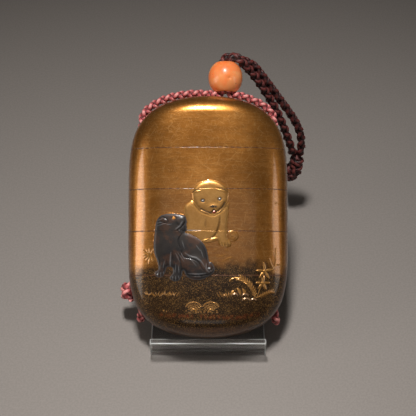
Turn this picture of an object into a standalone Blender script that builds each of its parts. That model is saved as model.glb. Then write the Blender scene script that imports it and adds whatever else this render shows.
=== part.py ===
"""Stacked inro case of lacquered wood with a coral bead and cords, leaning on a clear stand.

Metres, +Z up. The origin is the centre of the underside of the stand's ledge, +Y runs to the back.
The case is modelled upright about its own centre, with its front towards -Y, and a tilted empty
at that centre leans it back.
"""

from math import atan2, copysign, cos, hypot, pi, radians, sin, sqrt, tan

import bmesh
import bpy
from mathutils import Vector

for old in list(bpy.data.objects):
    bpy.data.objects.remove(old, do_unlink=True)

# Case, outside
case_width = 0.057
case_height = 0.086
case_thickness = 0.022
side_curve = 2.3
end_curve = 4.8
section_curve = 2.6
top_edge = 0.0055
bottom_edge = 0.0068

# Sections, from the top; the bottom case takes what is left
lid_height = 0.0192
upper_height = 0.0145
second_height = 0.0148
third_height = 0.0154

# Walls and fits
joint_gap = 0.0003
shell_wall = 0.0016
riser_wall = 0.0010
riser_height = 0.0030
floor_thickness = 0.0012
dome_wall = 0.0020
tunnel_diameter = 0.0034
tunnel_outer_wall = 0.0031
tunnel_inner_wall = 0.0007

# Relief puppies, as shares of one puppy height
puppy_height = 0.0240
relief_height = 0.0009
relief_depth = 0.0007
relief_margin = 0.00005

# Bead and cord
bead_diameter = 0.0123
bead_length = 0.0130
bead_bore = 0.0062
bead_mouth = 0.0088
mouth_depth = 0.0019
bead_across = 0.0063
bead_above = 0.0073
cord_diameter = 0.0026

# Stand
lean_deg = 50.0
sheet = 0.0022
stand_width = 0.041
lip_height = 0.0100
lip_clearance = 0.0007
bend_inside = 0.0025
back_slope_deg = 44.5
leg_slope_deg = 76.0
support_above_centre = 0.014

ring_points = 36
half_width = case_width / 2
half_height = case_height / 2
half_thickness = case_thickness / 2
lean = radians(lean_deg)

parts = bpy.data.collections.new("inro_case")
cutters = bpy.data.collections.new("cutters")
bpy.context.scene.collection.children.link(parts)
bpy.context.scene.collection.children.link(cutters)


def material(name, color, roughness, metallic=0.0, transmission=0.0):
    made = bpy.data.materials.new(name)
    made.use_nodes = True
    shader = made.node_tree.nodes["Principled BSDF"]
    shader.inputs["Base Color"].default_value = (*color, 1)
    shader.inputs["Roughness"].default_value = roughness
    shader.inputs["Metallic"].default_value = metallic
    shader.inputs["Transmission Weight"].default_value = transmission
    return made


gold_lacquer = material("gold_lacquer", (0.42, 0.22, 0.06), 0.3, 0.8)
coral = material("coral", (0.85, 0.27, 0.10), 0.25)
red_cord = material("red_cord", (0.42, 0.06, 0.07), 0.8)
dark_cord = material("dark_cord", (0.10, 0.02, 0.02), 0.85)
clear_acrylic = material("clear_acrylic", (0.92, 0.95, 0.95), 0.05, 0.0, 1.0)


def superellipse(radius_x, radius_y, curve, steps):
    """Points around a rounded section, counter-clockwise from +X."""
    points = []
    for step in range(steps):
        c, s = cos(2 * pi * step / steps), sin(2 * pi * step / steps)
        x, y = copysign(abs(c) ** (2 / curve), c), copysign(abs(s) ** (2 / curve), s)
        points.append((radius_x * x, radius_y * y))
    return points


def outline_half_width(height, inset=0.0):
    """Half width of the front outline at a height above the case's centre."""
    share = min(1.0, abs(height) / (half_height - inset))
    return (half_width - inset) * (1 - share**end_curve) ** (1 / side_curve)


def profile_half_depth(height, inset=0.0):
    """Half thickness of the side profile, a bar with rounded ends."""
    edge = (top_edge if height > 0 else bottom_edge) - inset / 2
    into_edge = abs(height) - (half_height - inset - edge)
    depth = half_thickness - inset
    return depth if into_edge <= 0 else depth - edge + sqrt(max(0.0, edge**2 - into_edge**2))


def front_surface(x, height):
    """Distance of the front face from the middle plane at a point of the face."""
    across = min(1.0, abs(x) / max(outline_half_width(height), 1e-6))
    return profile_half_depth(height) * (1 - across**section_curve) ** (1 / section_curve)


def loft(name, rings):
    """Closed solid through rings of equal length; the first and last ring are closed with a face."""
    mesh = bpy.data.meshes.new(name)
    shape = bmesh.new()
    rows = [[shape.verts.new(point) for point in ring] for ring in rings]
    for low, high in zip(rows, rows[1:]):
        for i in range(ring_points):
            j = (i + 1) % ring_points
            shape.faces.new((low[i], low[j], high[j], high[i]))
    for row in (rows[0], rows[-1]):
        if (row[0].co - row[ring_points // 2].co).length > 1e-6:
            shape.faces.new(row)
    bmesh.ops.remove_doubles(shape, verts=shape.verts, dist=1e-7)
    bmesh.ops.dissolve_degenerate(shape, edges=shape.edges, dist=1e-7)
    bmesh.ops.recalc_face_normals(shape, faces=shape.faces)
    shape.to_mesh(mesh)
    shape.free()
    return mesh


def ring_at(radius_x, radius_y, height):
    return [(x, y, height) for x, y in superellipse(radius_x, radius_y, section_curve, ring_points)]


def outer_ring(height):
    return ring_at(outline_half_width(height), profile_half_depth(height), height)


tunnel_x = half_width - tunnel_outer_wall - tunnel_diameter / 2
recess_x = tunnel_x - tunnel_diameter / 2 - tunnel_inner_wall
recess_y = half_thickness - shell_wall
riser_x, riser_y = recess_x - joint_gap, recess_y - joint_gap
cavity_x, cavity_y = riser_x - riser_wall, riser_y - riser_wall
dome_steps = 7


def dome_heights(reach, start, end):
    """Heights from start to the end of a dome of that reach, closer together towards its end."""
    side = copysign(1, end)
    first = (abs(start) / reach) ** (end_curve / 2)
    angles = [atan2(first, sqrt(max(0.0, 1 - first**2)))]
    angles += [angles[0] + (pi / 2 - angles[0]) * (k + 1) / dome_steps for k in range(dome_steps)]
    return [side * reach * sin(angle) ** (2 / end_curve) for angle in angles]


def outer_dome(start, end):
    """Rings of the rounded outside from a joint to the case's end."""
    rings = [outer_ring(height) for height in dome_heights(half_height, start, end)[:-1]]
    return rings + [ring_at(0.0, profile_half_depth(end), end)]


def inner_dome(start, end):
    """Rings of the hollow inside a rounded end, a wall's thickness within the outside."""
    wall = dome_wall
    rings = []
    for height in dome_heights(half_height - wall, start, end):
        depth = min(cavity_y, profile_half_depth(height, wall))
        rings.append(ring_at(min(cavity_x, outline_half_width(height, wall)), depth, height))
    return rings


def section(name, low, high):
    """One section of the stack between two heights, hollow, with its riser above and its recess below."""
    has_riser = high < half_height
    has_recess = low > -half_height
    rings = []
    if has_recess:
        roof = low + riser_height + joint_gap
        if has_riser:
            rings += [ring_at(recess_x, recess_y, roof)]
        else:
            rings += inner_dome(roof, half_height - dome_wall)[::-1]
            rings += [ring_at(recess_x, recess_y, roof)]
        rings += [ring_at(recess_x, recess_y, low), outer_ring(low)]
    if has_recess and has_riser:
        rings += [outer_ring((low + high) / 2)]
    if has_riser:
        if not has_recess:
            rings += outer_dome(high, -half_height)[::-1][:-1]
        top = high - joint_gap
        rings += [outer_ring(top), ring_at(riser_x, riser_y, top)]
        rings += [ring_at(riser_x, riser_y, high + riser_height), ring_at(cavity_x, cavity_y, high + riser_height)]
        if has_recess:
            rings += [ring_at(cavity_x, cavity_y, roof + floor_thickness)]
        else:
            rings += inner_dome(low_hollow_start, -(half_height - dome_wall))
    else:
        rings += outer_dome(low, half_height)[1:]
    return loft(name, rings)


joints = [half_height - lid_height]
for height in (upper_height, second_height, third_height):
    joints.append(joints[-1] - height)
low_hollow_start = joints[-1] - dome_wall
bounds = [half_height, *joints, -half_height]
section_names = ["lid", "upper_case", "second_case", "third_case", "bottom_case"]

lowest = (half_height - bottom_edge) * cos(lean) + (half_thickness - bottom_edge) * sin(lean) + bottom_edge


def stand_path():
    """Middle line of the bent sheet as (y, z) corners from the case's centre, and the height of that centre."""
    centre_height = sheet + joint_gap + lowest
    edge_y = -(half_height - bottom_edge) * sin(lean) - (half_thickness - bottom_edge) * cos(lean)
    edge_z = centre_height - (half_height - bottom_edge) * cos(lean) + (half_thickness - bottom_edge) * sin(lean)
    below_edge = max(0.0, edge_z - lip_height)
    case_front = edge_y - sqrt(max(0.0, bottom_edge**2 - below_edge**2))
    lip_y = case_front - lip_clearance - sheet / 2
    outer, middle = bend_inside + sheet, bend_inside + sheet / 2
    behind = half_thickness + joint_gap + outer
    bend_y = support_above_centre * sin(lean) + behind * cos(lean)
    bend_z = centre_height + support_above_centre * cos(lean) - behind * sin(lean)
    back, leg = radians(back_slope_deg), radians(leg_slope_deg)
    back_y, back_z = bend_y - middle * sin(back), bend_z + middle * cos(back)
    leg_y, leg_z = bend_y + middle * sin(leg), bend_z + middle * cos(leg)
    ledge_end = back_y - (back_z - sheet / 2) / tan(back)
    reach = middle * tan((back + leg) / 2)
    top = (back_y + reach * cos(back), back_z + reach * sin(back))
    foot = (leg_y + (leg_z - sheet / 2 * cos(leg)) / tan(leg), sheet / 2 * cos(leg))
    corners = [(lip_y, lip_height), (lip_y, sheet / 2), (ledge_end, sheet / 2), top, foot]
    return corners, centre_height


def rounded(corners, radius, steps=5):
    """The corners' path with each inner corner turned to an arc."""
    path = [corners[0]]
    for before, corner, after in zip(corners, corners[1:], corners[2:]):
        a = Vector(before) - Vector(corner)
        b = Vector(after) - Vector(corner)
        half = a.angle(b) / 2
        centre = Vector(corner) + (a.normalized() + b.normalized()).normalized() * radius / sin(half)
        start = Vector(corner) + a.normalized() * radius / tan(half) - centre
        sweep = start.angle_signed(Vector(corner) + b.normalized() * radius / tan(half) - centre)
        for k in range(steps + 1):
            angle = -sweep * k / steps
            turned = Vector((start.x * cos(angle) - start.y * sin(angle), start.x * sin(angle) + start.y * cos(angle)))
            path.append(tuple(centre + turned))
    return path + [corners[-1]]


stand_corners, centre_height = stand_path()
ledge_middle = (stand_corners[1][0] - sheet / 2 + stand_corners[2][0]) / 2

centre = bpy.data.objects.new("case_centre", None)
centre.location = (0, -ledge_middle, centre_height)
parts.objects.link(centre)
tilt = bpy.data.objects.new("case_tilt", None)
tilt.rotation_euler = (-lean, 0, 0)
tilt.parent = centre
parts.objects.link(tilt)


def place(name, mesh, finish, parent, location=(0, 0, 0), sharp_deg=35):
    piece = bpy.data.objects.new(name, mesh)
    piece.location = location
    piece.parent = parent
    parts.objects.link(piece)
    mesh.materials.clear()
    mesh.materials.append(finish)
    mesh.shade_smooth()
    mesh.set_sharp_from_angle(angle=radians(sharp_deg))
    return piece


def cutter(name, mesh):
    """A shape that is only used by Booleans, in the case's upright frame."""
    tool = bpy.data.objects.new(name, mesh)
    tool.parent = tilt
    tool.hide_render = True
    tool.display_type = "WIRE"
    cutters.objects.link(tool)
    return tool


def boolean(piece, tool, operation, use_self=False):
    step = piece.modifiers.new(tool.name, "BOOLEAN")
    step.operation = operation
    step.solver = "EXACT"
    step.use_self = use_self
    step.object = tool


# Relief figures. Each pad is (across, up, half width, half height, turn in degrees, share of the
# relief's height), in shares of the puppy's height from its own middle on the front face.
gold_puppy_at = (0.0000, 0.0005)
dark_puppy_at = (-0.0095, -0.0115)
gold_puppy = [
    (0.040, 0.225, 0.260, 0.235, 0, 1.00),
    (-0.185, 0.285, 0.085, 0.060, 35, 1.15),
    (0.235, 0.300, 0.085, 0.060, -35, 1.15),
    (0.080, 0.095, 0.120, 0.080, 0, 1.30),
    (-0.060, -0.060, 0.290, 0.200, 0, 0.80),
    (-0.040, -0.200, 0.270, 0.200, 0, 0.85),
    (0.205, -0.265, 0.085, 0.190, 5, 1.00),
    (0.225, -0.435, 0.115, 0.055, 0, 1.10),
    (0.360, -0.320, 0.078, 0.085, 0, 0.90),
]
dark_puppy = [
    (-0.150, 0.345, 0.225, 0.175, 15, 1.05),
    (0.030, 0.400, 0.085, 0.080, 0, 1.20),
    (-0.215, 0.350, 0.110, 0.065, -20, 1.30),
    (-0.130, 0.190, 0.230, 0.190, 0, 0.90),
    (-0.030, -0.060, 0.390, 0.250, -28, 0.95),
    (0.215, -0.225, 0.220, 0.215, 0, 1.10),
    (0.240, -0.425, 0.155, 0.050, 0, 1.10),
    (-0.305, -0.170, 0.085, 0.220, 4, 1.05),
    (-0.310, -0.370, 0.090, 0.050, 0, 1.15),
    (-0.090, -0.240, 0.085, 0.235, -3, 1.15),
    (-0.075, -0.440, 0.095, 0.050, 0, 1.20),
    (0.450, -0.290, 0.060, 0.120, -12, 0.90),
]


def relief_pads(low, high):
    """Mesh of every relief pad between two heights, each closed and following the front face."""
    shape = bmesh.new()
    for (middle_x, middle_z), figure in ((gold_puppy_at, gold_puppy), (dark_puppy_at, dark_puppy)):
        for across, up, wide, tall, turn, share in figure:
            pad = bmesh.new()
            bmesh.ops.create_uvsphere(pad, u_segments=14, v_segments=6, radius=1)
            c, s = cos(radians(turn)), sin(radians(turn))
            for vert in pad.verts:
                u, v, rise = vert.co
                x = middle_x + puppy_height * (across + wide * u * c - tall * v * s)
                z = middle_z + puppy_height * (up + wide * u * s + tall * v * c)
                lift = rise * (relief_height * share if rise > 0 else relief_depth)
                vert.co = (x, -(front_surface(x, z) + lift), z)
            for height, up_or_down in ((low, -1), (high, 1)):
                geometry = pad.verts[:] + pad.edges[:] + pad.faces[:]
                cut = bmesh.ops.bisect_plane(
                    pad, geom=geometry, plane_co=(0, 0, height), plane_no=(0, 0, up_or_down), clear_outer=True
                )
                edges = [item for item in cut["geom_cut"] if isinstance(item, bmesh.types.BMEdge)]
                if edges and pad.faces:
                    bmesh.ops.holes_fill(pad, edges=edges)
            if pad.faces:
                bmesh.ops.recalc_face_normals(pad, faces=pad.faces)
                mesh = bpy.data.meshes.new("pad")
                pad.to_mesh(mesh)
                shape.from_mesh(mesh)
                bpy.data.meshes.remove(mesh)
            pad.free()
    if not shape.faces:
        return None
    mesh = bpy.data.meshes.new("relief")
    shape.to_mesh(mesh)
    return mesh


# Cord tunnels, one straight hole down each side of the whole stack
tunnels = bmesh.new()
for side in (-1, 1):
    made = bmesh.ops.create_cone(
        tunnels,
        cap_ends=True,
        segments=12,
        radius1=tunnel_diameter / 2,
        radius2=tunnel_diameter / 2,
        depth=case_height * 1.2,
    )
    bmesh.ops.translate(tunnels, verts=made["verts"], vec=(side * tunnel_x, 0, 0))
tunnel_mesh = bpy.data.meshes.new("cord_tunnels")
tunnels.to_mesh(tunnel_mesh)
tunnel_cutter = cutter("cord_tunnels", tunnel_mesh)

for name, high, low in zip(section_names, bounds, bounds[1:]):
    piece = place(name, section(name, low, high), gold_lacquer, tilt)
    pads = relief_pads(low + relief_margin, high - joint_gap - relief_margin)
    if pads:
        boolean(piece, cutter("relief_on_" + name, pads), "UNION", use_self=True)
    boolean(piece, tunnel_cutter, "DIFFERENCE")


def bead_mesh():
    """Turned bead: egg-round outside, straight bore, and a mouth that opens where the strands part."""
    profile = []
    top = bead_bore / bead_diameter
    bottom = bead_mouth / bead_diameter
    first, last = atan2(top, sqrt(1 - top**2)), pi - atan2(bottom, sqrt(1 - bottom**2))
    steps = 12
    for k in range(steps + 1):
        angle = first + (last - first) * k / steps
        profile.append((bead_diameter / 2 * sin(angle), bead_length / 2 * cos(angle)))
    profile.append((bead_bore / 2, profile[-1][1] + mouth_depth))
    outline = bmesh.new()
    verts = [outline.verts.new((r, 0, z)) for r, z in profile]
    for a, b in zip(verts, verts[1:] + verts[:1]):
        outline.edges.new((a, b))
    mesh = bpy.data.meshes.new("bead")
    outline.to_mesh(mesh)
    outline.free()
    return mesh


bead = place("bead", bead_mesh(), coral, tilt, (bead_across, 0, half_height + bead_above))
turn = bead.modifiers.new("turn", "SCREW")
turn.steps = turn.render_steps = 24
turn.use_merge_vertices = True
turn.merge_threshold = 0.00001

# Cord routes in millimetres from the case's centre. The strands held by the case are in its
# upright frame (across, back, up the case); the hanging ones are level (across, back, up).
left_route = [
    (4.85, 0, 50.4), (4.8, 0, 48.0), (4.3, -0.1, 46.3), (2.9, -0.3, 44.6), (-0.6, -0.5, 44.5), (-6, -0.9, 44.4),
    (-11.5, -0.9, 43.6), (-16.4, -0.5, 42.1), (-20.4, -0.1, 39.9), (-22.9, 0, 37.5), (-23.65, 0, 35.1), (-23.7, 0, 30),
    (-23.7, 0, 0), (-23.7, 0, -31.5), (-23.75, 0.2, -34.4), (-24.2, 2.2, -36.6), (-25.3, 5.2, -36.9), (-27.0, 7.6, -34.7),
    (-28.9, 8.2, -31.0),
]
right_route = [
    (7.85, 0, 50.4), (7.9, 0, 48.0), (8.3, -0.1, 46.3), (9.7, -0.3, 44.6), (13.2, -0.3, 43.2), (17.2, -0.3, 41.7),
    (20.6, -0.1, 39.8), (22.95, 0, 37.4), (23.65, 0, 35.1), (23.7, 0, 30), (23.7, 0, 0), (23.7, 0, -31.5),
    (23.75, 0.1, -34.7), (24.2, 2.2, -37.0), (24.6, 5.8, -36.9), (23.6, 9.6, -35.0), (20.6, 11.7, -33.2),
    (15, 12.7, -32.0), (5, 12.9, -30.7), (-6, 12.9, -29.6), (-15, 12.8, -28.7), (-20.5, 12.0, -28.0), (-25.2, 10.6, -27.5),
]
outer_route = [
    (4.85, 38.9, 32.6), (4.85, 42.4, 35.3), (5.9, 44.6, 36.1), (9.0, 46.0, 36.2), (12.9, 46.0, 34.4), (16.7, 47.2, 31.2),
    (19.8, 46.4, 27.4), (23.2, 45.4, 22.7), (27.0, 44.5, 17.1), (30.8, 43.7, 11.4), (34.0, 43.0, 5.7),
    (35.7, 42.4, 0.4), (36.1, 41.8, -4.2), (35.8, 41.6, -7.6),
]
inner_route = [
    (7.85, 38.9, 32.6), (7.85, 42.2, 35.6), (8.9, 43.3, 37.7), (11.2, 42.8, 37.2), (13.3, 42.5, 34.9),
    (15.0, 43.2, 32.2), (17.6, 43.2, 28.4), (20.6, 42.9, 23.3), (23.8, 42.6, 17.3), (26.7, 42.2, 11.1),
    (29.0, 41.9, 5.0), (31.0, 41.6, -1.0), (32.3, 41.6, -5.0), (32.8, 41.6, -7.6),
]
cord_step_mm = 6.4


def smooth_points(route, step):
    """Points along a smooth curve through the route, about a step apart."""
    knots = [Vector(point) for point in route]
    knots = [2 * knots[0] - knots[1], *knots, 2 * knots[-1] - knots[-2]]
    points = [knots[1]]
    for a, b, c, d in zip(knots, knots[1:], knots[2:], knots[3:]):
        pieces = max(1, round((c - b).length / step))
        lead_in = (c - a) * (c - b).length / ((c - b).length + (b - a).length)
        lead_out = (d - b) * (c - b).length / ((d - c).length + (c - b).length)
        for k in range(1, pieces + 1):
            t = k / pieces
            points.append(
                (2 * t**3 - 3 * t**2 + 1) * b
                + (t**3 - 2 * t**2 + t) * lead_in
                + (3 * t**2 - 2 * t**3) * c
                + (t**3 - t**2) * lead_out
            )
    return points


def cord(name, route, finish, parent):
    line = bpy.data.curves.new(name, "CURVE")
    line.dimensions = "3D"
    line.bevel_depth = cord_diameter / 2
    line.bevel_resolution = 2
    line.use_fill_caps = True
    line.materials.append(finish)
    points = smooth_points(route, cord_step_mm)
    spline = line.splines.new("POLY")
    spline.points.add(len(points) - 1)
    for spot, point in zip(spline.points, points):
        spot.co = (*(point / 1000), 1)
    tube = bpy.data.objects.new(name, line)
    tube.parent = parent
    parts.objects.link(tube)


cord("left_strand", left_route, red_cord, tilt)
cord("right_strand", right_route, red_cord, tilt)
cord("outer_cord", outer_route, dark_cord, centre)
cord("inner_cord", inner_route, dark_cord, centre)


def knot_mesh(name, radii, lobes, groove, twist):
    """Rounded bundle of cord turns: a ball with slanting grooves between its turns."""
    shape = bmesh.new()
    bmesh.ops.create_uvsphere(shape, u_segments=18, v_segments=10, radius=1)
    for vert in shape.verts:
        around = atan2(vert.co.y, vert.co.x)
        swell = 1 - groove * hypot(vert.co.x, vert.co.y) * (0.5 - 0.5 * cos(lobes * around + twist * vert.co.z))
        vert.co = Vector([radius * value * swell for radius, value in zip(radii, vert.co)])
    mesh = bpy.data.meshes.new(name)
    shape.to_mesh(mesh)
    shape.free()
    return mesh


side_knot_radii = (0.0031, 0.0032, 0.0039)
end_knot_radii = (0.0034, 0.0032, 0.0068)
side_knot_at = (-0.0294, 0.0081, -0.0266)
end_knot_at = (0.0341, 0.0416, -0.0149)
place("side_knot", knot_mesh("side_knot", side_knot_radii, 3, 0.22, 3.0), red_cord, tilt, side_knot_at, 70)
place("end_knot", knot_mesh("end_knot", end_knot_radii, 3, 0.20, 4.0), dark_cord, centre, end_knot_at, 70)


def stand_mesh():
    """The bent sheet's middle surface, a strip as wide as the stand."""
    strip = bmesh.new()
    rows = []
    for y, z in rounded(stand_corners, bend_inside + sheet / 2):
        point = (y - ledge_middle, z)
        rows.append([strip.verts.new((side * stand_width / 2, *point)) for side in (-1, 1)])
    for (a, b), (c, d) in zip(rows, rows[1:]):
        strip.faces.new((a, b, d, c))
    mesh = bpy.data.meshes.new("stand")
    strip.to_mesh(mesh)
    strip.free()
    return mesh


stand = place("stand", stand_mesh(), clear_acrylic, None)
thicken = stand.modifiers.new("sheet", "SOLIDIFY")
thicken.thickness = sheet
thicken.offset = 0
thicken.use_even_offset = True
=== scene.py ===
from math import asin, atan2, copysign, cos, pi, radians, sin, sqrt

import bmesh
import bpy
import numpy as np
from mathutils import Matrix, Vector


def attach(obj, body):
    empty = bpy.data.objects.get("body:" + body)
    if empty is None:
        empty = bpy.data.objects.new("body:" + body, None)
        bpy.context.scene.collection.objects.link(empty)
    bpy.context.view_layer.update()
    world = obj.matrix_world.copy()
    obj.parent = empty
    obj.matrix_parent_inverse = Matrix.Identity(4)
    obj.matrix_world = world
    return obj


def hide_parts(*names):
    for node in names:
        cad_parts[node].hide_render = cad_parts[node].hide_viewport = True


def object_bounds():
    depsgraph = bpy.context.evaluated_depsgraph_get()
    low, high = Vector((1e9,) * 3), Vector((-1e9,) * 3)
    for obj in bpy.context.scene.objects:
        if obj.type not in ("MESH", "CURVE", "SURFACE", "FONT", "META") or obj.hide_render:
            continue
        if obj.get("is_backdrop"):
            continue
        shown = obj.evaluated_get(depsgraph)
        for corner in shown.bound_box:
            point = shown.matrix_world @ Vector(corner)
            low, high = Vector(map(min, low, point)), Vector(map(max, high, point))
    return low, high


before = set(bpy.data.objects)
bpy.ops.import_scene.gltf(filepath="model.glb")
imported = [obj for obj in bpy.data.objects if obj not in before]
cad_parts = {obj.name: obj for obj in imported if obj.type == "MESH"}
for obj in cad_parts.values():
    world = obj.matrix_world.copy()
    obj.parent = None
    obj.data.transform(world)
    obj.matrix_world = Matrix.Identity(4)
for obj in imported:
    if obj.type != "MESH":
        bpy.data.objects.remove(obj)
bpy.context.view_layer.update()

mm = 0.001

# the case in its own upright frame, in millimetres: x across, y to the back, z up the case
caseShape = {
    "width": 57.0,
    "height": 86.0,
    "thickness": 22.0,
    "sideCurve": 2.3,
    "endCurve": 4.8,
    "sectionCurve": 2.6,
    "camber": 0.55,
    "topEdge": 6.6,
    "bottomEdge": 6.8,
    "leanDeg": 50.0,
    "centre": (0.0, 26.547, 35.786),   # middle of the case in the row frame
}
caseWalls = {
    "joints": (23.8, 9.3, -5.5, -20.9),
    "jointGap": 0.035,
    "jointRound": 0.06,
    "shell": 1.6,
    "riserWall": 1.0,
    "riserHeight": 3.0,
    "riserEdge": 0.15,
    "floorEdge": 0.8,
    "fit": 0.3,
    "floor": 1.2,
    "dome": 2.0,
    "tunnelAcross": 23.7,
    "tunnelWide": 3.4,
    "recessWide": 21.3,
}
caseDetail = {"aroundFront": 330, "aroundBack": 110, "rowStep": 0.18, "domeStep": 0.26}

halfWide = caseShape["width"] / 2
halfTall = caseShape["height"] / 2
halfThick = caseShape["thickness"] / 2
lean = radians(caseShape["leanDeg"])


def toRow(points):
    # upright millimetres to the row frame in metres
    p = np.asarray(points, float)
    x, y, z = p[..., 0], p[..., 1], p[..., 2]
    cx, cy, cz = caseShape["centre"]
    return np.stack([cx + x, cy + y * cos(lean) + z * sin(lean), cz - y * sin(lean) + z * cos(lean)], -1) * mm


def levelToRow(points):
    # level millimetres from the middle of the case to the row frame in metres
    return (np.asarray(points, float) + np.array(caseShape["centre"])) * mm


def addObject(name, data):
    made = bpy.data.objects.new(name, data)
    bpy.context.scene.collection.objects.link(made)
    return made


# materials

class Graph:
    # short calls for building one material's nodes

    def __init__(self, name):
        self.material = bpy.data.materials.new(name)
        self.material.use_nodes = True
        self.tree = self.material.node_tree
        self.shader = self.tree.nodes["Principled BSDF"]
        self.object = self.add("ShaderNodeTexCoord").outputs["Object"]

    def add(self, kind, **values):
        node = self.tree.nodes.new(kind)
        for key, value in values.items():
            setattr(node, key, value)
        return node

    def put(self, socket, value):
        if isinstance(value, bpy.types.NodeSocket):
            self.tree.links.new(value, socket)
        elif isinstance(value, tuple) and len(value) == 3 and len(socket.default_value) == 4:
            socket.default_value = (*value, 1)
        else:
            socket.default_value = value

    def set(self, **values):
        for key, value in values.items():
            self.put(self.shader.inputs[key.replace("_", " ")], value)

    def math(self, operation, a, b=0.0, c=0.0):
        node = self.add("ShaderNodeMath", operation=operation)
        for socket, value in zip(node.inputs, (a, b, c)):
            self.put(socket, value)
        return node.outputs[0]

    def blend(self, share, a, b, kind="FLOAT", first=2, result=0):
        node = self.add("ShaderNodeMix", data_type=kind)
        for k, value in ((0, share), (first, a), (first + 1, b)):
            self.put(node.inputs[k], value)
        return node.outputs[result]

    def mix(self, share, a, b):
        # the same for colours
        return self.blend(share, a, b, "RGBA", 6, 2)

    def place(self, scale, turn):
        # turned first, then stretched
        turned, scaled = self.add("ShaderNodeMapping"), self.add("ShaderNodeMapping")
        self.put(turned.inputs["Vector"], self.object)
        turned.inputs["Rotation"].default_value = [radians(angle) for angle in turn]
        self.put(scaled.inputs["Vector"], turned.outputs["Vector"])
        scaled.inputs["Scale"].default_value = scale
        return scaled.outputs["Vector"]

    def texture(self, kind, output, vector=None, **inputs):
        node = self.add("ShaderNodeTex" + kind)
        self.put(node.inputs["Vector"], vector or self.object)
        for key, value in inputs.items():
            node.inputs[key].default_value = value
        return node.outputs[output]

    def noise(self, scale, detail=3.0, rough=0.5, vector=None, distortion=0.0):
        return self.texture("Noise", "Fac", vector, Scale=scale, Detail=detail, Roughness=rough,
                            Distortion=distortion)

    def cells(self, scale, output="Color"):
        return self.texture("Voronoi", output, Scale=scale)

    def steps(self, value, low, high, a=0.0, b=1.0):
        node = self.add("ShaderNodeMapRange", interpolation_type="SMOOTHSTEP")
        for socket, number in zip(node.inputs, (value, low, high, a, b)):
            self.put(socket, number)
        return node.outputs[0]

    def attribute(self, name):
        node = self.add("ShaderNodeAttribute", attribute_name=name)
        split = self.add("ShaderNodeSeparateColor")
        self.put(split.inputs[0], node.outputs["Color"])
        return split.outputs

    def bump(self, height, distance, strength):
        node = self.add("ShaderNodeBump")
        node.inputs["Strength"].default_value = strength
        node.inputs["Distance"].default_value = distance
        self.put(node.inputs["Height"], height)
        return node.outputs["Normal"]


lacquerTones = {
    # from the darker to the lighter of each finish
    "gold": ((0.42, 0.158, 0.024), (0.50, 0.200, 0.036)),
    "goldFine": (0.22, 0.10, 0.022),
    "flowDark": (0.22, 0.085, 0.018),
    "flowLight": (0.66, 0.33, 0.10),
    "ground": ((0.020, 0.009, 0.003), (0.043, 0.020, 0.007)),
    "flakes": ((0.14, 0.065, 0.016), (0.52, 0.27, 0.075)),
    # sides: painted shade, dark brown where the wall turns away at the sides and ends
    "sides": (0.085, 0.030, 0.010),
    "rouge": (0.30, 0.055, 0.012),
    "wornJoint": (0.105, 0.035, 0.012),
    "relief": ((0.50, 0.235, 0.058), (0.60, 0.305, 0.085)),
    "reliefShade": (0.17, 0.078, 0.018),
    "slate": ((0.014, 0.012, 0.013), (0.030, 0.024, 0.021)),
    "slateBrown": (0.080, 0.036, 0.020),
    "slateShade": (0.008, 0.007, 0.008),
    # this tone serves worn silver and the painted highlights on the dark puppy
    "silverAndGlint": (0.52, 0.53, 0.55),
    "ink": (0.012, 0.008, 0.006),
    "rosy": (0.50, 0.035, 0.035),
    "inside": ((0.090, 0.028, 0.012), (0.40, 0.20, 0.06)),
    "burnish": (0.74, 0.42, 0.15),
}
# turn in degrees and stretch of each set of burnishing marks
burnishSets = ((15, 3120), (-35, 2520), (75, 2880), (-70, 3600), (48, 2280), (-8, 2760))


def goldGround(g, cloud, fine):
    # burnished gold, clouded, with darker and lighter streaks
    t = lacquerTones
    gold = g.mix(g.steps(cloud, 0.3, 0.7), *t["gold"])
    gold = g.mix(g.math("MULTIPLY", g.steps(fine, 0.50, 0.75), 0.25), gold, t["goldFine"])
    flow = g.noise(1.0, 4, 0.7, g.place((90, 300, 1300), (50, 0, 0)), 1.2)
    gold = g.mix(g.steps(flow, 0.44, 0.70, 0.0, 0.42), gold, t["flowDark"])
    return g.mix(g.steps(flow, 0.46, 0.30, 0.0, 0.30), gold, t["flowLight"])


def sprinkledFlakes(g):
    # single gold flakes, closer together in clouds, and the colour of each
    split = g.add("ShaderNodeSeparateColor")
    g.put(split.inputs[0], g.cells(6500))
    density = g.steps(g.noise(260, 3, 0.6), 0.35, 0.7, 0.93, 0.79)
    flakes = g.math("GREATER_THAN", split.outputs[0], density)
    return flakes, g.mix(split.outputs[1], *lacquerTones["flakes"])


def darkMetal(g, shade):
    t = lacquerTones
    slate = g.mix(g.steps(g.noise(120, 4, 0.6), 0.35, 0.65), *t["slate"])
    slate = g.mix(g.steps(g.noise(170, 4, 0.65), 0.46, 0.62, 0.0, 0.65), slate, t["slateBrown"])
    return g.mix(shade, slate, t["slateShade"])


def burnishMarks(g, metal, dusk):
    # hairline marks in several directions, fewer on the dark ground and none on the dark puppy
    marks = None
    for turn, stretch in burnishSets:
        lines = g.noise(1.0, 2, 0.5, g.place((300, 1000, stretch), (50, turn, 0)), 0.8)
        lines = g.steps(lines, 0.60, 0.72)
        marks = lines if marks is None else g.math("MAXIMUM", marks, lines)
    marks = g.math("MULTIPLY", marks, g.math("SUBTRACT", 1.0, metal))
    return g.math("MULTIPLY", marks, g.steps(dusk, 0.2, 0.9, 1.0, 0.25))


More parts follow.
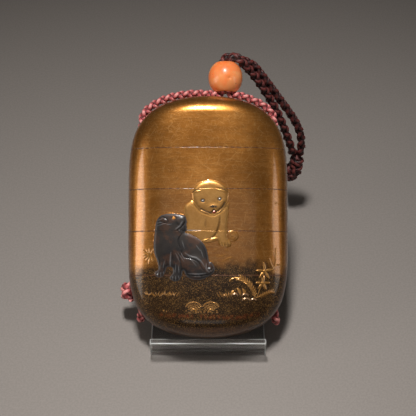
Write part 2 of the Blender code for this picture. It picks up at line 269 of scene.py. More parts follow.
def lacquerMaterial():
    # the walls carry what is painted or raised on them in four colour attributes
    g = Graph("goldLacquer")
    t = lacquerTones
    relief, metal, ink = g.attribute("paint")
    dusk, worn, inside = g.attribute("ground")
    rouge, shade, side = g.attribute("tint")
    silverAndGlint, rosy, _ = g.attribute("gleam")
    cloud, fine = g.noise(55, 4, 0.6), g.noise(900, 3, 0.6)
    flakes, flakeColor = sprinkledFlakes(g)
    dark = g.mix(g.steps(cloud, 0.35, 0.7), *t["ground"])
    dark = g.mix(g.math("MULTIPLY", flakes, 0.9), dark, flakeColor)
    base = g.mix(dusk, goldGround(g, cloud, fine), dark)
    # painted shade: the wall darkens to dark brown where it turns away at the sides and ends
    base = g.mix(g.math("MULTIPLY", side, 0.72), base, t["sides"])
    base = g.mix(g.math("MULTIPLY", rouge, 0.6), base, t["rouge"])
    base = g.mix(worn, base, t["wornJoint"])
    raised = g.mix(g.steps(g.noise(300, 3, 0.6), 0.3, 0.7), *t["relief"])
    base = g.mix(relief, base, g.mix(shade, raised, t["reliefShade"]))
    base = g.mix(metal, base, darkMetal(g, shade))
    # the silver cover is worn silver in places and painted highlight on the dark puppy's ridges, toe lines,
    # rim and glints
    for cover, tone in ((silverAndGlint, "silverAndGlint"), (ink, "ink"), (rosy, "rosy")):
        base = g.mix(cover, base, t[tone])
    base = g.mix(inside, base, g.mix(g.math("MULTIPLY", flakes, 0.5), *t["inside"]))
    marks = burnishMarks(g, metal, dusk)
    base = g.mix(g.math("MULTIPLY", marks, 0.36), base, t["burnish"])

    metallic = g.blend(dusk, 0.88, g.math("MULTIPLY_ADD", flakes, 0.25, 0.62))
    for cover, value in ((g.math("MAXIMUM", side, worn), 0.35), (relief, 0.85), (metal, 0.55),
                         (g.math("MAXIMUM", ink, inside), 0.15)):
        metallic = g.blend(cover, metallic, value)
    roughness = g.blend(g.steps(cloud, 0.3, 0.7), 0.30, 0.38)
    for cover, value in ((dusk, 0.40), (relief, 0.34), (metal, 0.50)):
        roughness = g.blend(cover, roughness, value)
    coat = g.blend(dusk, 0.95, 0.4)
    for cover, value in ((relief, 0.4), (metal, 0.12)):
        coat = g.blend(cover, coat, value)
    height = g.math("MULTIPLY_ADD", marks, 0.4, g.math("MULTIPLY", fine, 0.8))
    g.set(
        Base_Color=base,
        Metallic=metallic,
        Roughness=roughness,
        Normal=g.bump(height, 0.00002, 0.55),
        Coat_Weight=coat,
        Coat_Roughness=0.12,
        Coat_IOR=1.6,
    )
    return g.material


def eyeMaterial(name, low, high, metallic):
    g = Graph(name)
    cloud = g.noise(1500, 2)
    g.set(Base_Color=g.mix(cloud, low, high), Metallic=metallic, Roughness=g.blend(cloud, 0.18, 0.28),
          Normal=g.bump(cloud, 0.00001, 0.3))
    return g.material


def coralMaterial():
    g = Graph("coral")
    cloud = g.noise(180, 3, 0.5)
    color = g.mix(g.steps(cloud, 0.3, 0.7), (1.0, 0.25, 0.055), (1.0, 0.38, 0.14))
    band = g.noise(1.0, 2, 0.5, g.place((60, 60, 260), (50, 0, 0)))
    color = g.mix(g.steps(band, 0.50, 0.62, 0.0, 0.5), color, (0.94, 0.165, 0.03))
    pits = g.steps(g.cells(700, "Distance"), 0.10, 0.22)
    few = g.math("GREATER_THAN", g.noise(900, 1), 0.66)
    color = g.mix(g.math("MULTIPLY", g.math("SUBTRACT", 1.0, pits), few), color, (0.40, 0.09, 0.03))
    g.set(
        Base_Color=color,
        Roughness=g.blend(cloud, 0.28, 0.38),
        Normal=g.bump(g.noise(420, 3), 0.00004, 0.35),
        Subsurface_Weight=0.2,
        Subsurface_Radius=(0.004, 0.0015, 0.0008),
        Subsurface_Scale=0.5,
        Coat_Weight=0.35,
        Coat_Roughness=0.10,
    )
    return g.material


def silkMaterial(name, low, high, rim, sheen):
    g = Graph(name)
    along = g.add("ShaderNodeAttribute", attribute_name="along").outputs["Fac"]
    over = g.add("ShaderNodeAttribute", attribute_name="over").outputs["Fac"]
    thread = g.add("ShaderNodeAttribute", attribute_name="thread").outputs["Vector"]
    lengthways = g.add("ShaderNodeCombineXYZ")
    g.put(lengthways.inputs[2], g.math("MULTIPLY", along, 0.12))
    placed = g.add("ShaderNodeVectorMath", operation="ADD")
    g.put(placed.inputs[0], thread)
    g.put(placed.inputs[1], lengthways.outputs[0])
    threads = g.noise(9000, 3, 0.6, placed.outputs[0])
    # painted shade where a strand dips under the others and painted light where it lies over; the rim colour
    # is a painted highlight on the strand tops
    color = g.mix(g.steps(over, 0.25, 0.85), low, high)
    glint = g.math("MULTIPLY", g.steps(over, 0.72, 1.0), g.steps(threads, 0.35, 0.65, 0.35, 0.8))
    color = g.mix(glint, color, rim)
    g.set(
        Base_Color=color,
        Roughness=0.52,
        Normal=g.bump(threads, 0.00006, 0.7),
        Sheen_Weight=sheen,
        Sheen_Roughness=0.4,
        Sheen_Tint=(*rim, 1),
    )
    return g.material


def acrylicMaterial():
    g = Graph("clearAcrylic")
    scuffs = g.steps(g.noise(1.0, 3, 0.6, g.place((40, 900, 900), (0, 25, 40))), 0.62, 0.75)
    g.set(
        # the grey tint is painted shade: it darkens what is seen through the sheet
        Base_Color=(0.80, 0.82, 0.82),
        Roughness=g.blend(scuffs, 0.02, 0.08),
        Normal=g.bump(scuffs, 0.00001, 0.2),
        Transmission_Weight=1.0,
        IOR=1.49,
        Alpha=0.5,
    )
    return g.material


def acrylicEdgeMaterial():
    g = Graph("acrylicEdge")
    haze = g.noise(700, 3, 0.6)
    g.set(
        # whitish and half clear: a painted highlight along the sheet's edges
        Base_Color=g.mix(haze, (0.92, 0.95, 0.94), (0.99, 1.0, 1.0)),
        Roughness=g.blend(haze, 0.18, 0.30),
        Normal=g.bump(haze, 0.00002, 0.3),
        Transmission_Weight=0.55,
        IOR=1.49,
    )
    return g.material


def floorMaterial():
    g = Graph("paleFloor")
    color = g.mix(g.steps(g.noise(1400, 2), 0.3, 0.7), (0.222, 0.200, 0.184), (0.250, 0.226, 0.208))
    g.set(Base_Color=color, Roughness=0.85, Normal=g.bump(g.noise(1800, 3), 0.0001, 0.2))
    return g.material


lacquer = lacquerMaterial()
pearl = eyeMaterial("pearl", (0.28, 0.25, 0.22), (0.42, 0.39, 0.36), 0.5)
paleGold = eyeMaterial("paleGold", (0.78, 0.30, 0.06), (0.92, 0.46, 0.13), 0.4)
coral = coralMaterial()
# each silk: colour in the painted shade of the plait's gaps, colour on its lit tops, painted highlight colour
redSilk = silkMaterial("redSilk", (0.11, 0.010, 0.012), (0.54, 0.095, 0.100), (0.95, 0.44, 0.40), 0.5)
darkSilk = silkMaterial("darkSilk", (0.012, 0.0015, 0.0015), (0.066, 0.008, 0.007),
                        (0.20, 0.042, 0.036), 0.06)
acrylic = acrylicMaterial()
acrylicEdge = acrylicEdgeMaterial()
paleFloor = floorMaterial()
print("materials ready")


# shape of the case

def halfWidthAt(z, inset=0.0):
    share = np.minimum(1.0, np.abs(z) / (halfTall - inset))
    return (halfWide - inset) * (1 - share ** caseShape["endCurve"]) ** (1 / caseShape["sideCurve"])


def halfDepthAt(z, inset=0.0):
    edge = np.where(np.asarray(z) > 0, caseShape["topEdge"], caseShape["bottomEdge"]) - inset / 2
    into = np.clip(np.abs(z) - (halfTall - inset - edge), 0, edge)
    camber = caseShape["camber"] * (np.abs(z) / halfTall) ** 4
    return halfThick - inset - edge + np.sqrt(edge**2 - into**2) - camber


def frontSurface(x, z):
    across = np.minimum(1.0, np.abs(x) / np.maximum(halfWidthAt(z), 1e-6))
    q = caseShape["sectionCurve"]
    return halfDepthAt(z) * (1 - across**q) ** (1 / q)


def evenSteps(points, count):
    # the same line again with evenly spaced points
    along = np.concatenate([[0], np.cumsum(np.linalg.norm(np.diff(points, axis=0), axis=1))])
    at = np.linspace(0, along[-1], count)
    return np.stack([np.interp(at, along, points[:, k]) for k in range(points.shape[1])], 1)


def unitSection():
    # rounded section as shares of its half width and half depth, evenly spaced, denser on the front
    angle = np.linspace(0, pi, 4001)
    power = 2 / caseShape["sectionCurve"]
    x = np.sign(np.cos(angle)) * np.abs(np.cos(angle)) ** power
    y = np.abs(np.sin(angle)) ** power
    real = np.stack([x * halfWide, y * halfThick], 1)
    back = evenSteps(real, caseDetail["aroundBack"] + 1)[:-1]
    front = evenSteps(real * (-1, -1), caseDetail["aroundFront"] + 1)[:-1]
    both = np.concatenate([back, front])
    return both[:, 0] / halfWide, both[:, 1] / halfThick


unitX, unitY = unitSection()
around = len(unitX)


def ringsAt(halfX, halfY, z):
    halfX, halfY, z = (np.atleast_1d(np.asarray(v, float)) for v in (halfX, halfY, z))
    rings = np.empty((len(z), around, 3))
    rings[..., 0] = halfX[:, None] * unitX
    rings[..., 1] = halfY[:, None] * unitY
    rings[..., 2] = z[:, None]
    return rings


def domeHeights(start, end, inset, step):
    # heights from start to a rounded end, evenly spaced along the outline
    reach = halfTall - inset
    angle = np.linspace(0, pi / 2, 3000)
    z = reach * np.sin(angle) ** (2 / caseShape["endCurve"])
    line = np.stack([halfWidthAt(z, inset), z], 1)
    line = line[z >= abs(start)]
    line = np.concatenate([[[halfWidthAt(abs(start), inset), abs(start)]], line])
    length = np.linalg.norm(np.diff(line, axis=0), axis=1).sum()
    return copysign(1, end) * evenSteps(line, max(8, int(length / step)))[:, 1]


def outerRings(zRows, low, high):
    # outside wall, with its edges rounded over at the joints
    halfX, halfY = halfWidthAt(zRows), halfDepthAt(zRows)
    inset = np.zeros(len(zRows))
    radius = caseWalls["jointRound"]
    for edge in (low, high):
        if abs(edge) < halfTall - 1:
            into = np.clip(radius - np.abs(zRows - edge), 0, radius)
            inset = np.maximum(inset, radius - np.sqrt(radius**2 - into**2))
    return ringsAt(np.maximum(halfX - inset, 0), halfY - inset, zRows)


recessWide, recessDeep = caseWalls["recessWide"], halfThick - caseWalls["shell"]
riserWide, riserDeep = recessWide - caseWalls["fit"], recessDeep - caseWalls["fit"]
hollowWide, hollowDeep = riserWide - caseWalls["riserWall"], riserDeep - caseWalls["riserWall"]


def innerDome(start, end):
    wall = caseWalls["dome"]
    z = domeHeights(start, end, wall, 1.5)
    wide = np.minimum(hollowWide, halfWidthAt(z, wall))
    return ringsAt(wide, np.minimum(hollowDeep, halfDepthAt(z, wall)), z)


def sectionRings(low, high):
    # all rings of one section from inside to outside to inside, and which rows are the outside wall
    hasRiser, hasRecess = high < halfTall - 1, low > -halfTall + 1
    gap, rise, ease = caseWalls["jointGap"], caseWalls["riserHeight"], caseWalls["riserEdge"]
    parts = []
    if hasRecess:
        roof = low + rise + caseWalls["fit"]
        if not hasRiser:
            parts.append(innerDome(roof, halfTall - caseWalls["dome"])[::-1])
        parts.append(ringsAt(recessWide, recessDeep, roof))
        parts.append(ringsAt(recessWide, recessDeep, low))
    top = high - gap if hasRiser else high
    edgeRows = np.array([0.0, 0.02, 0.05, 0.10])
    if hasRecess and hasRiser:
        middle = np.linspace(low + 0.24, top - 0.24, int((top - low) / caseDetail["rowStep"]))
        rows = np.concatenate([low + edgeRows, middle, (top - edgeRows)[::-1]])
    elif hasRecess:
        rows = np.concatenate([low + edgeRows, domeHeights(low + 0.24, high, 0.0, caseDetail["domeStep"])])
    else:
        dome = domeHeights(top - 0.24, low, 0.0, caseDetail["domeStep"] * 0.86)[::-1]
        rows = np.concatenate([dome, (top - edgeRows)[::-1]])
    start = sum(len(part) for part in parts)
    parts.append(outerRings(rows, low, top))
    outside = (start, start + len(rows))
    if hasRiser:
        tip = high + rise
        outline = [(riserWide, riserDeep, top), (riserWide, riserDeep, tip - ease),
                   (riserWide - ease, riserDeep - ease, tip), (hollowWide + ease, hollowDeep + ease, tip),
                   (hollowWide, hollowDeep, tip - ease)]
        parts += [ringsAt(*ring) for ring in outline]
        if hasRecess:
            floor = low + rise + caseWalls["fit"] + caseWalls["floor"]
            ease = caseWalls["floorEdge"]
            parts.append(ringsAt(hollowWide, hollowDeep, floor + ease))
            parts.append(ringsAt(hollowWide - ease, hollowDeep - ease, floor))
        else:
            parts.append(innerDome(high - caseWalls["dome"], low + caseWalls["dome"]))
    return np.concatenate(parts), outside


# drawing on the front face: every call adds to fields of numbers, one for each point of the wall

def smoothStep(value, low, high):
    t = np.clip((value - low) / (high - low), 0, 1)
    return t * t * (3 - 2 * t)


def curveThrough(points, closed=False, steps=6):
    p = np.array(points, float)
    before, after = (p[-1:], p[:2]) if closed else (2 * p[:1] - p[1:2], 2 * p[-1:] - p[-2:-1])
    p = np.concatenate([before, p, after])
    line = []
    for a, b, c, d in zip(p, p[1:], p[2:], p[3:]):
        for t in np.arange(steps) / steps:
            line.append(0.5 * (2 * b + (c - a) * t + (2 * a - 5 * b + 4 * c - d) * t**2
                               + (3 * b - a - 3 * c + d) * t**3))
    if not closed:
        line.append(p[-2])
    return np.array(line)


def nearBox(f, line, margin):
    low, high = line.min(0) - margin, line.max(0) + margin
    return np.flatnonzero((f["x"] > low[0]) & (f["x"] < high[0]) & (f["z"] > low[1]) & (f["z"] < high[1]))


def lineDistance(x, z, line, closed=False):
    # distance to a line and the share of the way along it
    ends = np.roll(line, -1, 0) if closed else line[1:]
    starts = line if closed else line[:-1]
    best, share = np.full(len(x), 1e9), np.zeros(len(x))
    for k, (a, b) in enumerate(zip(starts, ends)):
        d = b - a
        t = np.clip(((x - a[0]) * d[0] + (z - a[1]) * d[1]) / max(d @ d, 1e-9), 0, 1)
        away = np.hypot(x - a[0] - t * d[0], z - a[1] - t * d[1])
        near = away < best
        best[near], share[near] = away[near], (k + t[near]) / len(starts)
    return best, share


def inside(f, outline, margin=1.2):
    # millimetres inside a closed outline, negative outside
    line = curveThrough(outline, closed=True)
    index = nearBox(f, line, margin)
    x, z = f["x"][index], f["z"][index]
    away, _ = lineDistance(x, z, line, closed=True)
    odd = np.zeros(len(x), bool)
    for a, b in zip(line, np.roll(line, -1, 0)):
        if a[1] != b[1]:
            crosses = (a[1] > z) != (b[1] > z)
            odd ^= crosses & (x < (b[0] - a[0]) * (z - a[1]) / (b[1] - a[1]) + a[0])
    full = np.full(len(f["x"]), -9.0)
    full[index] = np.where(odd, away, -away)
    return full


def ellipse(f, at, size, turnDeg=0.0):
    # 1 in the middle of an ellipse, 0 on its edge, negative outside
    c, s = cos(radians(turnDeg)), sin(radians(turnDeg))
    dx, dz = f["x"] - at[0], f["z"] - at[1]
    return 1 - np.hypot((dx * c + dz * s) / size[0], (dz * c - dx * s) / size[1])


def roundOver(inward, radius):
    return np.sqrt(np.maximum(0, 1 - (1 - np.clip(inward / radius, 0, 1)) ** 2))


def stroke(f, points, width, taper=0.0, lens=False, soft=0.10):
    # cover of a drawn line, 1 on its middle; a lens is pointed at both ends
    line = curveThrough(points, steps=5) if len(points) > 2 else np.array(points, float)
    index = nearBox(f, line, width + soft)
    cover = np.zeros(len(f["x"]))
    if len(index):
        away, share = lineDistance(f["x"][index], f["z"][index], line)
        half = width / 2 * (np.sin(pi * np.clip(share, 0.02, 0.98)) ** 0.8 if lens else 1 - taper * share)
        cover[index] = np.clip((half + soft - away) / (2 * soft), 0, 1)
    return cover


def lay(f, name, cover):
    # a field keeps the stronger of what it has and what is laid over it
    f[name] = np.maximum(f[name], cover)


def addGold(f, cover, height, shade=0.0):
    lay(f, "relief", cover)
    lay(f, "rise", cover * height)
    lay(f, "shade", cover * shade)
    f["dusk"] *= 1 - cover


def engrave(f, cover, depth, ink=0.0, shade=0.0):
    f["rise"] -= cover * depth
    lay(f, "ink", cover * ink)
    lay(f, "shade", cover * shade)


goldPuppy = {
    "head": [(0.3, 12.1), (3.3, 11.6), (5.6, 10.2), (7.0, 8.2), (7.0, 5.4), (5.6, 2.5), (3.3, 0.6),
        (1.8, 0.0), (-0.2, 0.4), (-2.6, 1.6), (-4.5, 3.8), (-5.5, 6.6), (-4.9, 9.2), (-2.9, 11.2)],
    "body": [(-3.6, 5.6), (-7.1, 4.0), (-8.4, 2.4), (-8.3, 0.6), (-7.4, -2.0), (-7.6, -6.0), (-5.0, -8.2),
        (-2.2, -9.7), (0.9, -9.5), (3.2, -8.9), (4.0, -10.2), (5.4, -11.1), (7.6, -10.9), (8.0, -9.6),
        (6.9, -8.2), (6.7, -4.8), (6.9, -1.0), (7.1, 2.2), (6.2, 4.6)],
    "tail": [(7.0, -6.0), (8.6, -5.4), (10.2, -6.4), (10.4, -8.0), (9.2, -9.0), (7.4, -8.8)],
    "tailCurl": [(7.4, -8.4), (9.0, -8.5), (9.9, -7.4), (9.2, -6.3), (8.0, -6.6), (8.0, -7.6), (8.9, -7.7)],
    "headRise": 0.52, "bodyRise": 0.36, "neckGroove": 0.08,
    "muzzle": ((1.9, 2.7), (3.3, 1.9)),
    "cheeks": [((-2.4, 3.2), (2.2, 1.9)), ((5.1, 4.0), (1.6, 2.1))],
    "eyes": [(-1.8, 5.0), (4.05, 5.6)],
    "eyeRadius": 0.46, "eyeStand": 0.52,
    "ears": [[(-5.6, 7.7), (-4.5, 8.6), (-2.7, 8.9)], [(3.4, 9.3), (5.2, 9.05), (7.0, 8.2)]],
    "nose": ((1.9, 2.95), (1.40, 0.50)),
    "mouthWide": 0.52,
    "mouth": [[(-2.5, 2.1), (-1.3, 1.5), (0.2, 0.9), (1.2, 0.95), (2.0, 1.75)],
        [(2.0, 1.75), (3.0, 1.15), (4.3, 2.1), (5.3, 3.3), (5.8, 4.3)]],
    "lips": [[(-2.3, 1.55), (-1.1, 0.95), (0.3, 0.45)], [(3.1, 0.75), (4.1, 1.25), (5.0, 2.3)]],
    "tongue": ((2.1, 0.95), (0.55, 0.38)),
    "chin": [(-1.2, 0.75), (0.6, 0.35), (1.9, 0.25), (3.2, 0.75)],
    "legWide": 0.62,
    "foreleg": [(4.2, -0.6), (4.0, -3.0), (3.1, -6.0), (1.6, -7.9), (-1.2, -9.2)],
    "outerLeg": [(6.6, -6.8), (6.9, -8.4)],
    "chest": [(-0.7, -1.6), (-0.9, -3.2), (-0.6, -4.4)],
    "toes": [[(4.7, -9.6), (4.9, -10.7)], [(5.8, -9.8), (6.0, -10.9)], [(6.9, -9.6), (7.1, -10.6)]],
    "foot": ((0.6, -8.9), (3.4, 0.8), 12),
}


def drawGoldPuppy(f):
    p = goldPuppy
    head, body, tail = inside(f, p["head"]), inside(f, p["body"]), inside(f, p["tail"])
    bodyHeight = p["bodyRise"] * (0.68 * roundOver(body, 1.8) + 0.32 * roundOver(body, 5.5))
    bodyHeight -= p["neckGroove"] * (1 - smoothStep(-head, 0.0, 0.9)) * (body > 0)
    headHeight = p["headRise"] * (0.70 * roundOver(head, 1.6) + 0.30 * roundOver(head, 6.0))
    for at, size in p["cheeks"] + [p["muzzle"]]:
        headHeight += 0.05 * smoothStep(ellipse(f, at, size), 0, 0.8) * (head > 0)
    headHeight += 0.04 * smoothStep(ellipse(f, *p["muzzle"]), 0, 0.7)
    tailHeight = 0.15 * roundOver(tail, 0.9)
    figure = np.maximum(np.maximum(headHeight, bodyHeight), tailHeight)
    cover = np.maximum(np.maximum(smoothStep(head, -0.05, 0.12), smoothStep(body, -0.05, 0.15)),
                       0.45 * smoothStep(tail, -0.05, 0.15))
    lay(f, "relief", cover)
    f["dusk"] *= 1 - cover
    lay(f, "rise", np.maximum(figure, 0))
    at, size, turn = p["foot"]
    f["rise"] += 0.16 * roundOver(ellipse(f, at, size, turn), 0.7) * (body > 0)
    rimShade = smoothStep(-head, -0.1, 0.1) * (1 - smoothStep(-head, 0.1, 0.8)) * (body > 0)
    lay(f, "shade", 0.9 * rimShade)
    for eye in p["eyes"]:
        engrave(f, smoothStep(ellipse(f, eye, (1.1, 0.9)), 0, 0.6), 0.04, shade=0.7)
        engrave(f, smoothStep(ellipse(f, eye, (0.80, 0.74)), 0, 0.14), 0.03, ink=0.95)
    for ear in p["ears"]:
        engrave(f, stroke(f, ear, 0.46, lens=True, soft=0.14), 0.16, ink=0.4, shade=1.0)
        lower = [(x, z - 0.45) for x, z in ear]
        f["rise"] += 0.10 * stroke(f, lower, 0.7, lens=True, soft=0.3)
    noseCover = smoothStep(ellipse(f, *p["nose"]), 0, 0.15)
    f["rise"] += 0.05 * noseCover
    engrave(f, noseCover, 0.0, ink=1.0)
    for mouth, lip in zip(p["mouth"], p["lips"]):
        engrave(f, stroke(f, mouth, p["mouthWide"], soft=0.14), 0.12, ink=0.75, shade=1.0)
        f["rise"] += 0.09 * stroke(f, lip, 0.42, lens=True, soft=0.2)
    engrave(f, stroke(f, p["chin"], 0.22, lens=True, soft=0.15), 0.06, shade=0.5)
    tongueCover = smoothStep(ellipse(f, *p["tongue"]), 0, 0.2)
    f["rise"] += 0.06 * tongueCover
    f["rosy"] = tongueCover
    f["relief"] *= 1 - tongueCover
    f["ink"] *= 1 - tongueCover
    engrave(f, stroke(f, p["foreleg"], p["legWide"], lens=True, soft=0.3), 0.15, shade=0.9)
    engrave(f, stroke(f, p["outerLeg"], 0.25, soft=0.15), 0.10, shade=0.6)
    engrave(f, stroke(f, p["chest"], 0.5, lens=True, soft=0.3), 0.06, shade=0.6)
    engrave(f, stroke(f, p["tailCurl"], 0.22, soft=0.14), 0.05, shade=0.6)
    for toe in p["toes"]:
        engrave(f, stroke(f, toe, 0.2, soft=0.1), 0.10, shade=0.7)


darkPuppy = {
    "outline": [(-8.9, 0.1), (-7.9, -0.4), (-7.3, -2.0), (-7.4, -3.4), (-7.3, -5.2), (-7.9, -6.0),
        (-6.2, -6.6), (-4.0, -7.7), (-1.9, -9.4), (-0.5, -11.8), (0.1, -14.4), (0.4, -16.0), (1.2, -16.3),
        (2.1, -17.6), (2.5, -18.9), (1.8, -20.3), (-0.8, -22.0), (-3.4, -22.7), (-5.8, -22.4),
        (-7.6, -21.2), (-8.6, -19.4), (-9.1, -21.4), (-10.4, -23.0), (-12.4, -22.9), (-13.4, -21.7),
        (-12.3, -20.2), (-12.5, -18.4), (-14.1, -18.2), (-14.9, -20.2), (-16.0, -21.6), (-18.0, -21.5),
        (-18.5, -19.8), (-17.3, -18.8), (-17.7, -16.0), (-18.7, -13.4), (-19.0, -10.2), (-18.6, -5.6),
        (-18.0, -2.0), (-16.2, 0.0), (-12.8, 0.6)],
    "edgeRise": 0.46, "bodyRise": 0.32,
    "head": ((-13.0, -3.4), (5.6, 4.0), 8),
    "haunch": ((-4.4, -17.9), (5.2, 4.5), -18),
    "cheek": ((-9.4, -2.2), (2.1, 1.7), 0),
    "shoulder": ((-13.6, -10.6), (4.8, 5.0), 0),
    "ear": ((-15.6, -1.75), (1.75, 0.85), -24),
    "nose": ((-8.1, -0.45), (0.75, 0.55), 0),
    "swells": {"head": 0.06, "haunch": 0.15, "cheek": 0.10, "shoulder": 0.08, "ear": 0.10, "nose": 0.06},
    "eye": (-11.9, -1.1),
    "eyeRadius": 0.58, "eyeStand": 0.74,
    "mouth": [(-7.6, -1.5), (-8.3, -3.2), (-9.5, -4.5), (-10.9, -5.6)],
    "lines": [[(-12.2, -12.8), (-12.4, -16.0), (-12.2, -20.0)],
        [(-8.9, -12.2), (-9.9, -14.8), (-9.2, -18.0), (-8.8, -20.4)],
        [(-17.0, -14.6), (-16.6, -17.0), (-16.9, -18.8)], [(-14.4, -15.6), (-14.1, -18.2)],
        [(-9.4, -12.8), (-8.2, -14.7), (-5.8, -15.2), (-3.5, -16.3), (-2.2, -18.4), (-0.7, -20.0)],
        [(-7.6, -20.9), (-3.6, -21.2), (-0.3, -20.9)], [(-9.0, -6.4), (-10.3, -8.8), (-9.8, -11.6)],
        [(0.3, -16.6), (0.0, -18.2), (0.7, -19.3), (1.6, -18.6), (1.4, -17.8)]],
    # raised lines beside the grooves, painted light as highlights
    "litRidges": [[(-12.9, -13.0), (-13.1, -16.4), (-13.0, -19.4)],
        [(-8.0, -13.2), (-6.2, -14.4), (-4.0, -15.0), (-2.2, -16.4), (-1.2, -18.0)],
        [(-8.9, -2.2), (-9.8, -3.8), (-11.4, -5.0)], [(-6.9, -20.4), (-3.6, -20.6), (-0.8, -20.3)],
        [(-0.6, -17.0), (-0.5, -18.8), (0.4, -19.9)]],
    "toes": [[(-17.6, -20.0), (-17.8, -21.4)], [(-16.7, -20.0), (-16.7, -21.6)],
        [(-15.8, -19.8), (-15.6, -21.2)], [(-12.5, -21.4), (-12.6, -22.7)],
        [(-11.5, -21.4), (-11.5, -22.9)], [(-10.5, -21.2), (-10.2, -22.7)]],
    "hairs": [[(-17.8, -1.9), (-15.9, -1.3)], [(-17.9, -2.8), (-15.6, -2.4)],
        [(-17.6, -3.7), (-14.9, -3.0)], [(-14.6, -3.4), (-12.6, -3.2)], [(-10.6, -12.9), (-8.3, -16.3)],
        [(-9.6, -12.8), (-8.0, -15.6)], [(-11.3, -13.2), (-9.6, -16.6)], [(-15.1, -15.9), (-15.7, -18.6)],
        [(-17.7, -17.2), (-17.2, -20.1)], [(-10.3, -17.2), (-10.0, -20.3)],
        [(-11.2, -16.8), (-11.4, -20.4)], [(-6.4, -15.0), (-4.0, -17.8)], [(-2.6, -11.8), (-1.6, -14.8)],
        [(-4.2, -10.4), (-2.6, -12.6)], [(-9.0, -9.0), (-8.2, -11.6)]],
    "glints": [((0.35, -18.5), (0.55, 0.4)), ((-17.6, -20.6), (0.3, 0.35))],
}


def drawDarkPuppy(f):
    p = darkPuppy
    body = inside(f, p["outline"])
    where = body > 0
    height = p["edgeRise"] * roundOver(body, 1.1) + p["bodyRise"] * roundOver(body, 6.0)
    for name, amount in p["swells"].items():
        height += amount * smoothStep(ellipse(f, *p[name]), 0, 0.5) * where
    cover = smoothStep(body, -0.06, 0.10)
    f["rise"] = np.where(where, height, f["rise"])
    lay(f, "metal", cover)
    for name in ("relief", "dusk", "shade", "ink", "worn"):
        f[name] *= 1 - cover
    at, size, turn = p["ear"]
    earEdge = ellipse(f, at, (size[0] + 0.25, size[1] + 0.22), turn)
    engrave(f, smoothStep(earEdge, 0, 0.1) * (1 - smoothStep(earEdge, 0.12, 0.3)), 0.10, ink=0.5, shade=0.8)
    engrave(f, smoothStep(ellipse(f, p["eye"], (0.85, 0.70)), 0, 0.2), 0.08, ink=0.8)
    engrave(f, stroke(f, p["mouth"], 0.30, lens=True, soft=0.12), 0.20, ink=0.8, shade=1.0)
    for line in p["lines"]:
        engrave(f, stroke(f, line, 0.36, lens=True, soft=0.18) * where, 0.16, ink=0.25, shade=1.0)
    # painted highlight: each ridge beside a groove is raised a little and painted light
    for litRidge in p["litRidges"]:
        cover = stroke(f, litRidge, 0.40, lens=True, soft=0.22) * where
        f["rise"] += 0.06 * cover
        lay(f, "silverAndGlint", 0.24 * cover)
    for hair in p["hairs"]:
        cover = stroke(f, hair, 0.20, lens=True, soft=0.10) * where
        f["rise"] += 0.03 * cover
        lay(f, "silverAndGlint", 0.22 * cover)
    for toe in p["toes"]:
        engrave(f, stroke(f, toe, 0.2, soft=0.1) * where, 0.10, ink=0.4)
        # painted highlight: a pale line beside each toe groove
        beside = stroke(f, [(x + 0.28, z) for x, z in toe], 0.18, soft=0.1) * where
        lay(f, "silverAndGlint", 0.3 * beside)
    # the glints are painted highlights; the rim along the outline is partly worn silver, partly painted
    # highlight
    for at, size in p["glints"]:
        lay(f, "silverAndGlint", smoothStep(ellipse(f, at, size), 0, 0.5) * where)
    rim = smoothStep(body, 0.0, 0.12) * (1 - smoothStep(body, 0.22, 0.62))
    lay(f, "silverAndGlint", 0.15 * rim)


plants = {
    "tufts": [(-20.8, -27.7, 0.6), (-17.6, -27.7, 1.0), (-14.6, -27.7, 1.0), (-12.0, -27.7, 0.9),
        (5.0, -27.9, 0.9), (7.0, -27.9, 0.8)],
    "mounds": [(-5.0, -32.6, 3.0), (1.0, -32.6, 3.0)],
    "shells": [(9.3, -28.2, 1.15), (12.9, -28.3, 1.15), (13.3, -30.1, 1.5), (15.9, -29.8, 0.9)],
    "leaves": [[(10.0, -25.4), (10.9, -26.4), (11.3, -27.8)], [(8.9, -26.2), (8.4, -27.0), (8.3, -27.8)],
        [(12.0, -25.6), (12.6, -26.6), (12.7, -27.4)]],
    "sprig": [(7.5, -22.9), (8.4, -22.1), (10.5, -21.8), (12.6, -22.6), (14.4, -24.1), (15.8, -26.2),
        (16.4, -28.6)],
    "flowers": [((19.8, -19.4), 3.1, (96, 178, 12, -60, -128)),
        ((19.1, -23.6), 2.6, (178, 2, -130, -62, 80))],
    "stems": [[(22.4, -19.1), (23.4, -17.6), (23.7, -14.3), (23.8, -11.4)],
        [(22.8, -18.4), (22.0, -16.8), (21.4, -15.0)], [(23.4, -17.6), (24.3, -17.3), (25.3, -17.4)],
        [(18.4, -20.6), (18.8, -23.4), (17.9, -26.1), (17.0, -28.6)]],
    "spray": [(16.9, -28.7), (18.7, -27.9), (20.5, -27.1), (22.4, -26.6)],
    "starLeaf": ((-20.2, -13.9), 3.1, (125, 150, 98, 178, 205, 232, 262, 292, 60)),
    "marks": [[(4.5, -16.4), (6.6, -15.2), (8.9, -14.4)], [(2.2, -13.6), (4.6, -14.2), (6.6, -13.6)],
        [(5.6, -12.0), (7.4, -12.4)], [(2.0, -11.8), (3.4, -12.3)]],
    "specks": [(-15.4, -33.2, 0.30), (0.9, -26.1, 0.14), (-11.0, 13.4, 0.16), (24.0, 4.3, 0.26),
        (5.8, 24.7, 0.16), (-14.4, -33.4, 0.2)],
    "lift": 0.15,
}


